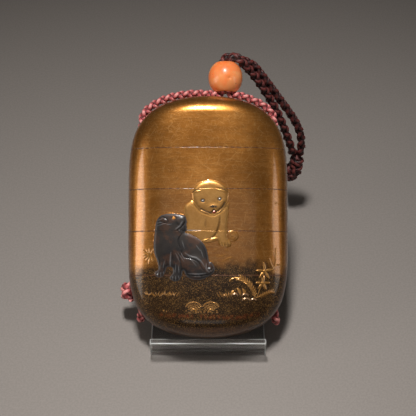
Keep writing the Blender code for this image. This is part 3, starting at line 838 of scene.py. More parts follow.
def drawPlants(f):
    p = plants
    lift = p["lift"]
    random = np.random.default_rng(7)
    for x, z, size in p["tufts"]:
        for k in range(6):
            tilt = radians((k - 2.5) * 17 + random.uniform(-14, 14))
            length = size * random.uniform(0.7, 1.5)
            low = z + random.uniform(-0.55, 0.25)
            foot = x + (k - 2.5) * 0.50 * size
            tip = (foot + length * sin(tilt), low + length * cos(tilt))
            addGold(f, stroke(f, [(foot, low), tip], 0.18, taper=0.5, soft=0.06), lift)
    for x, z, size in p["mounds"]:
        arc = [(x + size * cos(a), z + 0.8 * size * sin(a)) for a in np.radians(np.linspace(160, 20, 7))]
        addGold(f, 0.7 * stroke(f, arc, 0.20, soft=0.08), lift)
        for row in range(4):
            for a in np.radians(np.arange(22, 165, 13)):
                reach = size * (0.86 - 0.21 * row)
                aside = random.uniform(-0.08, 0.08)
                dot = (x + reach * cos(a) + aside, z + 0.8 * reach * sin(a) - 0.25 * row)
                away = (0.26 * cos(a), 0.26 * sin(a))
                dash = [dot, (dot[0] + away[0], dot[1] + away[1])]
                addGold(f, stroke(f, dash, 0.17, soft=0.07), lift * 0.9)
        for k in range(16):
            dot = (x + random.uniform(-1, 1) * size, z - random.uniform(0.1, 1.4))
            addGold(f, 0.8 * stroke(f, [dot, (dot[0] + 0.2, dot[1])], 0.2), lift * 0.7)
    for x, z, size in p["shells"]:
        arc = [(x + size * cos(a), z + 0.75 * size * sin(a)) for a in np.radians(np.linspace(165, 15, 6))]
        addGold(f, stroke(f, arc, 0.42, lens=True), lift * 1.6)
        lay(f, "silverAndGlint", 0.5 * stroke(f, arc, 0.26, lens=True))
    for leaf in p["leaves"]:
        addGold(f, stroke(f, leaf, 0.85, lens=True), lift)
    sprig = curveThrough(p["sprig"], steps=6)
    addGold(f, stroke(f, p["sprig"], 0.26, soft=0.08), lift)
    last = len(sprig) - 1
    for share in np.linspace(0.42, 0.98, 12):
        at = sprig[int(share * last)]
        ahead = sprig[min(last, int(share * last) + 1)] - at
        heading = atan2(ahead[1], ahead[0]) if ahead @ ahead > 0 else -pi / 2
        for side in (-1, 1):
            turn = heading + pi + side * radians(38)
            length = 1.9 * (1.15 - 0.45 * share)
            tip = at + length * np.array([cos(turn), sin(turn)])
            addGold(f, stroke(f, [at, tip], 0.26, lens=True, soft=0.07), lift * 0.9)
    for (x, z), size, petals in p["flowers"]:
        for turn in np.radians(petals):
            tip = (x + size * cos(turn), z + size * sin(turn))
            addGold(f, stroke(f, [(x, z), tip], 0.80 * size / 3, lens=True, soft=0.08), lift * 1.2)
        addGold(f, smoothStep(ellipse(f, (x, z), (0.5, 0.5)), 0, 0.3), lift * 1.4)
    for stem in p["stems"]:
        addGold(f, 0.9 * stroke(f, stem, 0.24, taper=0.3, soft=0.08), lift * 0.8)
    spray = curveThrough(p["spray"], steps=5)
    addGold(f, stroke(f, p["spray"], 0.26), lift)
    for at in spray[3::2]:
        for side in (-1, 1):
            turn = radians(22 + side * 42)
            tip = (at[0] + cos(turn), at[1] + sin(turn))
            addGold(f, stroke(f, [at, tip], 0.22, lens=True, soft=0.07), lift * 0.8)
    (x, z), size, blades = p["starLeaf"]
    for turn in np.radians(blades):
        length = size * random.uniform(0.75, 1.1)
        tip = (x + length * cos(turn), z + length * sin(turn))
        addGold(f, 0.9 * stroke(f, [(x, z), tip], 0.34, lens=True), lift, shade=0.25)
    for mark in p["marks"]:
        addGold(f, 0.55 * stroke(f, mark, 0.24, lens=True), lift * 0.5)
    for x, z, size in p["specks"]:
        addGold(f, smoothStep(ellipse(f, (x, z), (size, size)), 0, 0.4), lift * 0.7)


wear = {
    "duskFrom": -13.6, "duskTo": -19.5,
    "blush": [[(-16.5, -34.6), (-5.8, -35.2)], [(-2.0, -35.1), (4.8, -35.4), (11.0, -35.5)],
        [(11.0, -35.5), (17.2, -34.4)]],
    "silverEdge": [(-9.3, -5.36), (-2.8, -5.36)],
    "crack": [(24.2, -18.0), (27.6, -17.8)],
    "edgeWear": 0.30,
}


def waves(x, z, size, seed):
    # soft unevenness between -1 and 1
    random = np.random.default_rng(seed)
    total = np.zeros(len(x))
    for _ in range(7):
        turn, phase = random.uniform(0, pi), random.uniform(0, 2 * pi)
        scale = random.uniform(0.6, 1.7) / size
        total += np.sin((x * cos(turn) + z * sin(turn)) * 2 * pi * scale + phase)
    return total / 3.5


def wallFields(x, y, z, low, high):
    # everything painted or raised on one section's outside wall
    names = ("rise", "relief", "metal", "ink", "worn", "rouge", "shade", "silverAndGlint", "rosy")
    f = {name: np.zeros(len(x)) for name in names}
    # the back is put far to the side, so that only the front is drawn on
    f["x"], f["z"] = np.where(y < 0, x, 999.0), z
    uneven = waves(x, z, 9, 3) * 0.9 + waves(x, z, 3, 5) * 0.5
    sideHold = 2.6 * smoothStep(np.abs(x), 19.5, 25.0)
    f["dusk"] = 1 - smoothStep(z + uneven + sideHold, wear["duskTo"], wear["duskFrom"])
    # side is painted shade, growing as the wall turns away from the front at the sides and at the rounded
    # ends
    power = caseShape["sectionCurve"] - 1
    acrossShare = np.clip(np.abs(x) / np.maximum(halfWidthAt(z), 0.5), 0, 1)
    depthShare = np.clip(np.abs(y) / np.maximum(halfDepthAt(z), 0.5), 0, 1)
    slope = np.arctan2(acrossShare**power / halfWide, depthShare**power / halfThick)
    f["side"] = smoothStep(slope + 0.05 * waves(x, z, 5, 9), radians(47), radians(62))
    endSlope = np.abs(z) - np.where(z > 0, 40.6, 38.4)
    lay(f, "side", smoothStep(endSlope + 0.4 * waves(x, z, 7, 15), 0.0, 1.8) * 0.8)
    toJoint = np.full(len(x), 9.0)
    for edge in (low, high):
        if abs(edge) < halfTall - 1:
            toJoint = np.minimum(toJoint, np.abs(z - edge))
    f["worn"] = (1 - smoothStep(toJoint + 0.10 * waves(x, z, 2.0, 12), 0.05, wear["edgeWear"])) * 0.9
    drawPlants(f)
    drawGoldPuppy(f)
    drawDarkPuppy(f)
    for smear in wear["blush"]:
        cover = stroke(f, smear, 0.7, soft=0.8) * np.clip(0.55 + 0.8 * waves(x, z, 2.4, 21), 0, 1)
        lay(f, "rouge", cover)
    lay(f, "silverAndGlint", stroke(f, wear["silverEdge"], 0.30, soft=0.12) * (1 - f["metal"]) * 0.95)
    engrave(f, stroke(f, wear["crack"], 0.10, soft=0.06), 0.05, ink=0.8)
    f["worn"] *= 1 - np.maximum(f["metal"], 0.15 * f["relief"])
    return f


def meshFrom(name, points, faces, materials=()):
    mesh = bpy.data.meshes.new(name)
    mesh.from_pydata(points, [], faces)
    piece = addObject(name, mesh)
    for material in materials:
        mesh.materials.append(material)
    return piece


def faceOutward(piece, poles=()):
    # the points at each closed end become one, and all faces turn outward
    shape = bmesh.new()
    shape.from_mesh(piece.data)
    shape.verts.ensure_lookup_table()
    if poles:
        bmesh.ops.remove_doubles(shape, verts=[shape.verts[k] for k in poles], dist=2e-6)
    bmesh.ops.recalc_face_normals(shape, faces=shape.faces)
    shape.to_mesh(piece.data)
    shape.free()


def tubeFaces(rows, count, closed=False):
    # faces between rows of points; closed also joins the last row to the first
    low = np.arange(rows if closed else rows - 1)[:, None] * count
    high = (low + count) % (rows * count)
    here, there = np.arange(count), (np.arange(count) + 1) % count
    return np.stack([low + here, low + there, high + there, high + here], -1).reshape(-1, 4).tolist()


def fromShape(name, shape):
    mesh = bpy.data.meshes.new(name)
    shape.to_mesh(mesh)
    shape.free()
    return addObject(name, mesh)


def makeTunnelCutter():
    # two slim cylinders along the case, where the cords run
    shape = bmesh.new()
    radius = caseWalls["tunnelWide"] / 2
    for side in (-1, 1):
        made = bmesh.ops.create_cone(shape, cap_ends=True, segments=24, radius1=radius, radius2=radius,
                                     depth=halfTall * 2.2)
        bmesh.ops.translate(shape, verts=made["verts"], vec=(side * caseWalls["tunnelAcross"], 0, 0))
    for vert in shape.verts:
        vert.co = Vector(toRow(vert.co))
    return fromShape("tunnelCutter", shape)


def cutTunnels(piece):
    step = piece.modifiers.new("tunnels", "BOOLEAN")
    step.operation, step.solver, step.object = "DIFFERENCE", "EXACT", tunnelCutter
    settle(piece)


def settle(piece):
    # the evaluated result becomes the piece's own mesh
    graph = bpy.context.evaluated_depsgraph_get()
    mesh = bpy.data.meshes.new_from_object(piece.evaluated_get(graph), preserve_all_data_layers=True,
                                           depsgraph=graph)
    old = piece.data
    piece.modifiers.clear()
    piece.data = mesh
    mesh.name = piece.name
    if isinstance(old, bpy.types.Mesh):
        bpy.data.meshes.remove(old)


# which fields go into the red, green and blue of each colour attribute; blue of ground is the inside
# in tint, shade and side are painted shade
wallLayers = {
    "paint": ("relief", "metal", "ink"),
    "ground": ("dusk", "worn"),
    # gleam: worn silver and painted highlights, then the tongue's colour
    "tint": ("rouge", "shade", "side"),
    "gleam": ("silverAndGlint", "rosy"),
}


def makeSection(node, low, high):
    rings, (first, last) = sectionRings(low, high)
    wall = rings[first:last].reshape(-1, 3)
    f = wallFields(wall[:, 0], wall[:, 1], wall[:, 2], low, high - caseWalls["jointGap"])
    wall[:, 1] -= np.where(wall[:, 1] < 0, f["rise"], 0)
    rings[first:last] = wall.reshape(-1, around, 3)
    count = len(rings) * around
    faces = tubeFaces(len(rings), around)
    for row in (0, len(rings) - 1):
        if np.ptp(rings[row][:, 0]) > 0.01:
            order = list(range(row * around, (row + 1) * around))
            faces.append(order[::-1] if row == 0 else order)
    piece = meshFrom(node + "Lacquer", toRow(rings.reshape(-1, 3)).tolist(), faces, [lacquer])
    mesh = piece.data
    outside = np.zeros(count, bool)
    outside[first * around:last * around] = True
    for layer, names in wallLayers.items():
        values = np.zeros((count, 4), np.float32)
        values[:, 3] = 1
        for k, name in enumerate(names):
            values[outside, k] = np.clip(f[name], 0, 1)
        if layer == "ground":
            values[~outside, 2] = 1
        mesh.attributes.new(layer, "FLOAT_COLOR", "POINT").data.foreach_set("color", values.ravel())
    poles = [row * around + k for row in (0, len(rings) - 1) if np.ptp(rings[row][:, 0]) <= 0.01
             for k in range(around)]
    faceOutward(piece, poles)
    mesh.shade_smooth()
    if tunnelCutter:
        cutTunnels(piece)
    piece.data.set_sharp_from_angle(angle=radians(38))
    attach(piece, "root")
    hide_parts(node)
    print(node, len(piece.data.polygons), "faces")
    return piece


def makeEye(name, at, puppy, finish):
    # small bright dome set into the relief, its middle a little in front of the face
    x, z = at
    radius = puppy["eyeRadius"]
    middle = -(frontSurface(x, z) + puppy["eyeStand"])
    shape = bmesh.new()
    bmesh.ops.create_uvsphere(shape, u_segments=24, v_segments=12, radius=1)
    for vert in shape.verts:
        across, deep, up = vert.co * radius
        vert.co = Vector(toRow((x + across, middle + deep * 0.6, z + up)))
    piece = fromShape(name, shape)
    piece.data.materials.append(finish)
    piece.data.shade_smooth()
    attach(piece, "root")


tunnelCutter = makeTunnelCutter()
bounds = [halfTall, *caseWalls["joints"], -halfTall]
sections = ("lid", "upper_case", "second_case", "third_case", "bottom_case")
for node, high, low in zip(sections, bounds, bounds[1:]):
    makeSection(node, low, high)
if tunnelCutter:
    bpy.data.objects.remove(tunnelCutter)
for side, at in zip(("Left", "Right"), goldPuppy["eyes"]):
    makeEye("goldPuppy" + side + "Eye", at, goldPuppy, pearl)
makeEye("darkPuppyEye", darkPuppy["eye"], darkPuppy, paleGold)
print("case sections ready")


# bead: turned, with rounded lips and a wide mouth below where the strands part

beadShape = {
    "diameter": 12.3, "length": 13.0, "bore": 6.2, "mouth": 7.3, "mouthDepth": 1.9,
    "across": 6.3, "above": 7.3, "square": 2.08, "lip": 0.45, "around": 128, "rows": 60,
    # each pit: degrees round from the front and share of the height, radius, depth
    "pits": [((14, -0.08), 0.50, 0.32), ((-48, 0.34), 0.35, 0.12), ((22, 0.30), 0.3, 0.10)],
}


def beadProfile():
    # (radius, height) around half of the section, a closed line
    b = beadShape
    power = 2 / b["square"]
    reach, half = b["diameter"] / 2, b["length"] / 2
    first = asin((b["bore"] / b["diameter"] + 0.045) ** (1 / power))
    last = pi - asin((b["mouth"] / b["diameter"] + 0.02) ** (1 / power))
    outer = [(reach * sin(a) ** power, half * copysign(abs(cos(a)) ** power, cos(a)))
             for a in np.linspace(first, last, b["rows"])]
    (topR, topZ), (lowR, lowZ) = outer[0], outer[-1]
    lowInner = (b["bore"] / 2, lowZ + b["mouthDepth"])
    mouth = [(lowR, lowZ), (lowR - b["lip"], lowZ - 0.05), (lowR - 1.0, lowZ + 0.6), lowInner]
    mouth = curveThrough(mouth, steps=6)[1:]
    bore = [(b["bore"] / 2, z) for z in np.linspace(lowInner[1], topZ - 0.6, 10)[1:]]
    lip = [bore[-1], (b["bore"] / 2 + 0.06, topZ - 0.15), (topR - 0.12, topZ + 0.02)]
    lip = curveThrough(lip, steps=5)[1:]
    return np.array(outer + mouth.tolist() + bore + lip.tolist())


def makeBead():
    b = beadShape
    line = beadProfile()
    turns = np.linspace(0, 2 * pi, b["around"], endpoint=False)
    r, z = line[:, 0][:, None], line[:, 1][:, None]
    points = np.stack([r * np.cos(turns), r * np.sin(turns), z + 0 * turns], -1)
    outerRows = points[:b["rows"]]
    for (turnDeg, up), size, depth in b["pits"]:
        a = radians(turnDeg - 90)
        at = np.array([b["diameter"] / 2 * cos(a), b["diameter"] / 2 * sin(a), up * b["length"]])
        away = np.linalg.norm(outerRows - at, axis=-1)
        dent = depth * np.exp(-((away / size) ** 2))
        outerRows[..., :2] *= (1 - dent / b["diameter"] * 2)[..., None]
    faces = tubeFaces(len(line), b["around"], closed=True)
    placed = points.reshape(-1, 3) + (b["across"], 0, halfTall + b["above"])
    piece = meshFrom("coralBead", toRow(placed).tolist(), faces, [coral])
    faceOutward(piece)
    piece.data.shade_smooth()
    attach(piece, "root")
    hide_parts("bead")


makeBead()
print("bead ready")


# cords: four plaited silk strands around a core, laid along a line by Geometry Nodes

cordShape = {
    "diameter": 2.6, "plaitWide": 3.05, "pitch": 6.8, "strandWide": 1.28, "lift": 0.20, "core": 1.4,
    "freeSize": 1.16, "step": 0.30, "sides": 10,
    "leftRoute": [(5.4, 0, 50.4), (5.4, 0, 47.2), (5.2, -0.1, 45.3), (4.2, -0.4, 44.3), (2.4, -0.4, 44.2),
        (-0.6, -0.5, 44.4), (-6, -0.9, 44.4), (-11.5, -0.9, 43.6), (-16.4, -0.5, 42.1),
        (-20.4, -0.1, 39.9), (-22.9, 0, 37.5), (-23.65, 0, 35.1), (-23.7, 0, 30), (-23.7, 0, 0),
        (-23.7, 0, -31.5), (-23.75, 0.2, -34.4), (-24.2, 2.4, -36.2), (-23.8, 6.0, -36.0),
        (-22.8, 9.0, -34.0), (-23.6, 10.6, -31.0), (-26.6, 10.0, -28.6)],
    "rightRoute": [(7.2, 0, 50.4), (7.2, 0, 47.2), (7.4, -0.1, 45.2), (8.4, -0.4, 44.2),
        (10.4, -0.3, 43.9), (13.0, -0.3, 43.4), (17.2, -0.3, 41.7), (20.6, -0.1, 39.8), (22.95, 0, 37.4),
        (23.65, 0, 35.1), (23.7, 0, 30), (23.7, 0, 0), (23.7, 0, -31.5), (23.75, 0.1, -34.7),
        (24.2, 2.2, -37.0), (24.6, 5.8, -36.9), (23.6, 9.6, -35.0), (20.6, 11.7, -33.2),
        (15, 12.7, -32.0), (5, 12.9, -30.7), (-6, 12.9, -29.6), (-15, 12.8, -28.7), (-20.5, 12.0, -28.0),
        (-25.2, 10.6, -27.5)],
    "outerRoute": [(4.85, 38.9, 32.6), (4.85, 42.4, 35.3), (5.9, 44.6, 36.1), (9.0, 46.0, 36.2),
        (12.9, 46.0, 34.4), (16.7, 47.2, 31.2), (19.8, 46.4, 27.4), (23.2, 45.4, 22.7),
        (27.0, 44.5, 17.1), (30.8, 43.7, 11.4), (34.0, 43.0, 5.7), (35.7, 42.4, 0.4), (36.1, 41.8, -4.2),
        (35.8, 41.6, -7.6)],
    "innerRoute": [(7.85, 38.9, 32.6), (7.85, 42.2, 35.6), (8.9, 43.3, 37.7), (11.2, 42.8, 37.2),
        (13.3, 42.5, 34.9), (15.0, 43.2, 32.2), (17.6, 43.2, 28.4), (20.6, 42.9, 23.3),
        (23.8, 42.6, 17.3), (26.7, 42.2, 11.1), (29.0, 41.9, 5.0), (31.0, 41.6, -1.0), (32.3, 41.6, -5.0),
        (32.8, 41.6, -7.6)],
    "outerLength": 0.0648, "innerLength": 0.0600,
    "exit": (6.3, 0, 56.3),
}


def smoothRoute(route, step):
    # the same curve through the route as the solid cords have
    k = np.array(route, float)
    k = np.concatenate([[2 * k[0] - k[1]], k, [2 * k[-1] - k[-2]]])
    points = [k[1]]
    for a, b, c, d in zip(k, k[1:], k[2:], k[3:]):
        before, here, after = (np.linalg.norm(v) for v in (b - a, c - b, d - c))
        leadIn, leadOut = (c - a) * here / (here + before), (d - b) * here / (after + here)
        for t in np.arange(1, max(2, round(here / step)) + 1) / max(2, round(here / step)):
            points.append((2 * t**3 - 3 * t**2 + 1) * b + (t**3 - 2 * t**2 + t) * leadIn
                          + (3 * t**2 - 2 * t**3) * c + (t**3 - t**2) * leadOut)
    return np.array(points)


def braidTree():
    tree = bpy.data.node_groups.new("braidedCord", "GeometryNodeTree")
    face = tree.interface
    face.new_socket("Geometry", in_out="INPUT", socket_type="NodeSocketGeometry")
    for name in ("Step", "Pitch", "Braid Radius", "Lift", "Strand Radius", "Core Radius"):
        face.new_socket(name, in_out="INPUT", socket_type="NodeSocketFloat")
    face.new_socket("Sides", in_out="INPUT", socket_type="NodeSocketInt")
    face.new_socket("Material", in_out="INPUT", socket_type="NodeSocketMaterial")
    face.new_socket("Geometry", in_out="OUTPUT", socket_type="NodeSocketGeometry")
    nodes, links = tree.nodes, tree.links
    given = nodes.new("NodeGroupInput").outputs

    def add(kind, inputs=(), **values):
        node = nodes.new("GeometryNode" + kind)
        for key, value in values.items():
            setattr(node, key, value)
        connect(node, inputs)
        return node

    def connect(node, inputs):
        for key, value in dict(inputs).items():
            socket = node.inputs[key]
            if isinstance(value, bpy.types.NodeSocket):
                links.new(value, socket)
            else:
                socket.default_value = value

    def calc(operation, a, b=0.0, c=0.0):
        node = nodes.new("ShaderNodeMath")
        node.operation = operation
        connect(node, {0: a, 1: b, 2: c})
        return node.outputs[0]

    def vector(operation, a, b=None, scale=None):
        node = nodes.new("ShaderNodeVectorMath")
        node.operation = operation
        connect(node, {key: value for key, value in ((0, a), (1, b), (3, scale)) if value is not None})
        return node.outputs[0]

    def store(geometry, name, value, kind="FLOAT"):
        return add("StoreNamedAttribute", {"Geometry": geometry, "Name": name, "Value": value},
                   data_type=kind).outputs[0]

    line = add("MeshToCurve", {"Mesh": given["Geometry"]}).outputs[0]
    line = add("ResampleCurve", {"Curve": line, "Length": given["Step"]}, mode="LENGTH").outputs[0]
    line = add("SetCurveNormal", {"Curve": line}, mode="MINIMUM_TWIST").outputs[0]
    along = add("SplineParameter").outputs["Length"]
    line = store(line, "along", along)
    copies = add("DuplicateElements", {"Geometry": line, "Amount": 4}, domain="SPLINE")
    number = copies.outputs["Duplicate Index"]
    # two strands wind each way, half a turn apart, and pass over and under one another
    way = calc("SUBTRACT", calc("MULTIPLY", calc("MODULO", number, 2.0), 2.0), 1.0)
    turn = calc("MULTIPLY", calc("DIVIDE", along, given["Pitch"]), 2 * pi)
    half = calc("MULTIPLY", calc("FLOOR", calc("DIVIDE", number, 2.0)), pi)
    angle = calc("ADD", calc("MULTIPLY", turn, way), half)
    over = calc("MULTIPLY", calc("COSINE", calc("MULTIPLY", turn, 2.0)), way)
    reach = calc("MULTIPLY_ADD", over, given["Lift"], given["Braid Radius"])
    normal = add("InputNormal").outputs["Normal"]
    across = vector("CROSS_PRODUCT", add("InputTangent").outputs[0], normal)
    offset = vector("ADD", vector("SCALE", normal, scale=calc("MULTIPLY", calc("COSINE", angle), reach)),
                    vector("SCALE", across, scale=calc("MULTIPLY", calc("SINE", angle), reach)))
    # over is kept for the silk's painted shade and highlight
    strands = store(copies.outputs["Geometry"], "over", calc("MULTIPLY_ADD", over, 0.5, 0.5))
    strands = add("SetPosition", {"Geometry": strands, "Offset": offset}).outputs[0]
    ring = add("CurvePrimitiveCircle", {"Resolution": given["Sides"],
                                        "Radius": given["Strand Radius"]}).outputs[0]
    ring = store(ring, "thread", add("InputPosition").outputs[0], "FLOAT_VECTOR")
    strands = add("CurveToMesh", {"Curve": strands, "Profile Curve": ring, "Fill Caps": True}).outputs[0]
    middle = add("CurvePrimitiveCircle", {"Resolution": 10, "Radius": given["Core Radius"]}).outputs[0]
    core = add("CurveToMesh", {"Curve": line, "Profile Curve": middle, "Fill Caps": True}).outputs[0]
    both = add("JoinGeometry")
    links.new(core, both.inputs[0])
    links.new(strands, both.inputs[0])
    result = add("RealizeInstances", {"Geometry": both.outputs[0]}).outputs[0]
    result = add("SetShadeSmooth", {"Geometry": result}).outputs[0]
    result = add("SetMaterial", {"Geometry": result, "Material": given["Material"]}).outputs[0]
    links.new(result, nodes.new("NodeGroupOutput").inputs[0])
    return tree


braid = braidTree()


def makeCord(name, points, silk, size=1.0):
    # points in row metres; size scales the cord's thickness
    c = cordShape
    mesh = bpy.data.meshes.new(name)
    mesh.from_pydata(points.tolist(), [(k, k + 1) for k in range(len(points) - 1)], [])
    piece = addObject(name, mesh)
    step = piece.modifiers.new("braid", "NODES")
    step.node_group = braid
    strand = c["strandWide"] / 2
    lengths = {
        "Step": c["step"] * 1,
        "Pitch": c["pitch"],
        "Braid Radius": c["plaitWide"] / 2 - c["lift"] - strand,
        "Lift": c["lift"],
        "Strand Radius": strand,
        "Core Radius": c["core"] / 2,
    }
    wanted = {key: value * size * mm for key, value in lengths.items()}
    wanted |= {"Sides": c["sides"], "Material": silk}
    for item in braid.interface.items_tree:
        if item.item_type == "SOCKET" and item.in_out == "INPUT" and item.name in wanted:
            step[item.identifier] = wanted[item.name]
    settle(piece)
    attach(piece, "root")
    print(name, len(piece.data.polygons), "faces")
    return piece


def route(name):
    return smoothRoute(cordShape[name], 0.4)


leftCord = makeCord("leftStrandSilk", toRow(route("leftRoute")), redSilk)
rightCord = makeCord("rightStrandSilk", toRow(route("rightRoute")), redSilk)
outerCord = makeCord("outerCordSilk", levelToRow(route("outerRoute")), darkSilk, cordShape["freeSize"])
innerCord = makeCord("innerCordSilk", levelToRow(route("innerRoute")), darkSilk, cordShape["freeSize"])

knots = {
    "side": {"at": (-28.9, 8.1, -26.6), "size": 1.15, "turns": 2.3, "start": -70, "lean": 0,
             "profile": [(-2.3, 0.9), (-1.6, 1.55), (0.0, 1.35), (1.5, 1.6), (2.4, 0.8)],
             "over": [(1.3, -1.3, 2.1), (0.4, -2.0, 0.9), (-0.8, -2.0, -0.9), (-1.0, -0.9, -2.2)]},
    "end": {"at": (33.9, 41.6, -14.9), "size": 1.2, "turns": 4.2, "start": 20, "lean": 0.17,
            "profile": [(5.4, 0.8), (4.3, 1.5), (2.4, 1.1), (0.4, 1.6), (-2.0, 2.0), (-4.1, 1.7),
                        (-5.2, 0.6)],
            "over": [(-0.8, -1.5, -4.9), (-1.2, -2.0, -3.0), (0.2, -2.0, -0.4), (1.3, -1.6, 1.8),
                     (0.4, -1.1, 4.0)]},
}


def knotPath(k):
    # turns wound around each other, then a bight laid over them
    profile = np.array(k["profile"])
    share = np.linspace(0, 1, 60)
    at = share * (len(profile) - 1)
    height = np.interp(at, range(len(profile)), profile[:, 0])
    reach = np.interp(at, range(len(profile)), profile[:, 1])
    angle = radians(k["start"]) + 2 * pi * k["turns"] * share
    wound = np.stack([reach * np.cos(angle), reach * np.sin(angle), height], 1)
    line = np.concatenate([wound[::4], np.array(k["over"])])
    line[:, 0] += k["lean"] * line[:, 2]
    return smoothRoute(line, 0.3) + np.array(k["at"])


sideKnot = makeCord("sideKnotSilk", toRow(knotPath(knots["side"])), redSilk, knots["side"]["size"])
endKnot = makeCord("endKnotSilk", levelToRow(knotPath(knots["end"])), darkSilk, knots["end"]["size"])
for piece, node, silk in ((leftCord, "left_strand", "red_cord"), (rightCord, "right_strand", "red_cord"),
                          (sideKnot, "side_knot", "red_cord"), (outerCord, "outer_cord", "dark_cord"),
                          (innerCord, "inner_cord", "dark_cord"), (endKnot, "end_knot", "dark_cord")):
    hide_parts(node)
print("cords ready")


# stand: one bent sheet of clear acrylic with polished, slightly rounded edges, whose faces are drawn whitish
# and half clear: a painted highlight along the edges

standShape = {
    "sheet": 2.2, "width": 41.0, "lip": 10.0, "lipClearance": 0.7, "bendInside": 2.5, "backSlopeDeg": 44.5,
    "legSlopeDeg": 76.0, "supportAbove": 14.0, "gap": 0.3, "edgeRound": 0.3, "bendSteps": 14,
}


def standLine():
    # middle line of the sheet as (y, z) in the row frame, the solid's own corners with round bends
    s, edge = standShape, caseShape["bottomEdge"]
    sheet, centre = s["sheet"], caseShape["centre"][2]
    edgeY = -(halfTall - edge) * sin(lean) - (halfThick - edge) * cos(lean)
    edgeZ = centre - (halfTall - edge) * cos(lean) + (halfThick - edge) * sin(lean)
    lipY = edgeY - sqrt(edge**2 - max(0.0, edgeZ - s["lip"]) ** 2) - s["lipClearance"] - sheet / 2
    outer, middle = s["bendInside"] + sheet, s["bendInside"] + sheet / 2
    behind = halfThick + s["gap"] + outer
    bendY = s["supportAbove"] * sin(lean) + behind * cos(lean)
    bendZ = centre + s["supportAbove"] * cos(lean) - behind * sin(lean)
    back, leg = radians(s["backSlopeDeg"]), radians(s["legSlopeDeg"])
    backY, backZ = bendY - middle * sin(back), bendZ + middle * cos(back)
    legY, legZ = bendY + middle * sin(leg), bendZ + middle * cos(leg)
    ledge = backY - (backZ - sheet / 2) * cos(back) / sin(back)
    reach = middle * sin((back + leg) / 2) / cos((back + leg) / 2)
    foot = (legY + (legZ - sheet / 2 * cos(leg)) * cos(leg) / sin(leg), sheet / 2 * cos(leg))
    corners = [(lipY, s["lip"]), (lipY, sheet / 2), (ledge, sheet / 2),
               (backY + reach * cos(back), backZ + reach * sin(back)), foot]
    corners = [Vector((y + caseShape["centre"][1], z)) for y, z in corners]
    line = [corners[0]]
    for before, corner, after in zip(corners, corners[1:], corners[2:]):
        a, b = (before - corner).normalized(), (after - corner).normalized()
        half = a.angle(b) / 2
        centreOfBend = corner + (a + b).normalized() * middle / sin(half)
        start, end = corner + a * middle * cos(half) / sin(half), corner + b * middle * cos(half) / sin(half)
        sweep = (start - centreOfBend).angle_signed(end - centreOfBend)
        for k in range(s["bendSteps"] + 1):
            spin = Matrix.Rotation(-sweep * k / s["bendSteps"], 2)
            line.append(centreOfBend + spin @ (start - centreOfBend))
    return line + [corners[-1]]


def makeStand():
    s = standShape
    line = standLine()
    half, side, cut = s["sheet"] / 2, s["width"] / 2, s["edgeRound"]
    arc = [(cut * (1 - sin(a)), cut * (1 - cos(a))) for a in np.linspace(0, pi / 2, 4)]
    corner = [(side - x, half - n) for x, n in arc]
    loop = corner + [(x, -n) for x, n in corner[::-1]]
    loop += [(-x, -n) for x, n in corner] + [(-x, n) for x, n in corner[::-1]]
    rings = []
    for k, point in enumerate(line):
        ahead = (line[min(k + 1, len(line) - 1)] - line[max(k - 1, 0)]).normalized()
        if k == 0:
            rings += [(point + ahead * n, ahead, inset) for n, inset in arc[::-1]]
        elif k == len(line) - 1:
            rings += [(point - ahead * n, ahead, inset) for n, inset in arc]
        else:
            rings.append((point, ahead, 0.0))
    points = []
    for point, ahead, inset in rings:
        normal = Vector((-ahead.y, ahead.x))
        for x, n in loop:
            at = point + normal * n * (1 - inset / half)
            points.append((x * (1 - inset / side) * mm, at.x * mm, at.y * mm))
    count, last = len(loop), len(rings) - 1
    faces = tubeFaces(len(rings), count)
    faces += [tuple(range(count)), tuple(range(last * count, (last + 1) * count))]
    piece = meshFrom("acrylicStand", points, faces, [acrylic, acrylicEdge])
    for k, face in enumerate(piece.data.polygons):
        ring, part = divmod(k, count)
        # each corner arc has three narrow faces and then a flat one; the sheet's ends are edge too
        if ring < last and (part % 4 != 3 or ring < 3 or ring > last - 4):
            face.material_index = 1
    faceOutward(piece)
    piece.data.shade_smooth()
    piece.data.set_sharp_from_angle(angle=radians(40))
    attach(piece, "root")
    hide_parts("stand")
    return piece


makeStand()
print("stand ready")


# floor, light and camera

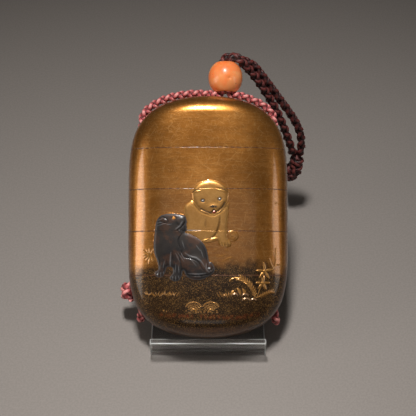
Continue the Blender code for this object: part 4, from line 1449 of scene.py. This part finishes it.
studio = {
    "floorSize": 3.0,
    "lights": [
        # name, place, aimed at, size, power in watts, spread in degrees, colour
        ("overhead", (-0.035, 0.02, 0.66), (0, -0.07, 0), (0.08, 0.10), 0.58, 62, (1.0, 0.98, 0.955)),
        ("left", (-0.45, -0.115, 0.18), (0, 0.02, 0.03), (0.15, 0.30), 0.51, 180, (1.0, 0.94, 0.86)),
        ("right", (0.45, -0.12, 0.18), (0, 0.02, 0.03), (0.11, 0.26), 0.185, 180, (1.0, 0.94, 0.86)),
        ("front", (0, -0.30, 0.44), (0, 0.0, 0.03), (0.50, 0.09), 0.045, 180, (1.0, 0.96, 0.91)),
        ("camera side", (-0.03, -0.42, 0.25), (0, 0.06, 0.07), (0.20, 0.16), 0.10, 180, (1.0, 0.96, 0.91)),
    ],
    "world": (0.030, 0.029, 0.028),
}
shot = {"elevationDeg": 46.0, "distance": 0.391, "lens": 94.5, "above": 0.0032}

floorMesh = bpy.data.meshes.new("floor")
side = studio["floorSize"] / 2
floorMesh.from_pydata([(-side, -side, 0), (side, -side, 0), (side, side, 0), (-side, side, 0)], [],
                      [(0, 1, 2, 3)])
floorMesh.materials.append(paleFloor)
floor = addObject("floor", floorMesh)
floor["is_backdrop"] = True

for name, place, target, size, power, spread, color in studio["lights"]:
    light = bpy.data.lights.new(name, "AREA")
    light.shape = "RECTANGLE"
    light.size, light.size_y = size
    light.energy = power
    light.spread = radians(spread)
    light.color = color
    lamp = addObject(name, light)
    lamp.location = place
    lamp.rotation_euler = (Vector(target) - Vector(place)).to_track_quat("-Z", "Y").to_euler()

world = bpy.data.worlds.new("studio")
world.use_nodes = True
world.node_tree.nodes["Background"].inputs["Color"].default_value = (*studio["world"], 1)
bpy.context.scene.world = world

cameraData = bpy.data.cameras.new("camera")
cameraData.lens = shot["lens"]
cameraData.sensor_width = 36
camera = addObject("camera", cameraData)
rise = radians(shot["elevationDeg"])
middle = Vector(caseShape["centre"]) * mm + Vector((0, sin(rise), cos(rise))) * shot["above"]
camera.location = middle + Vector((0, -cos(rise), sin(rise))) * shot["distance"]
camera.rotation_euler = (pi / 2 - rise, 0, 0)
bpy.context.scene.camera = camera
bpy.context.scene.view_settings.view_transform = "Standard"
print("studio ready")

low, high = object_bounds()
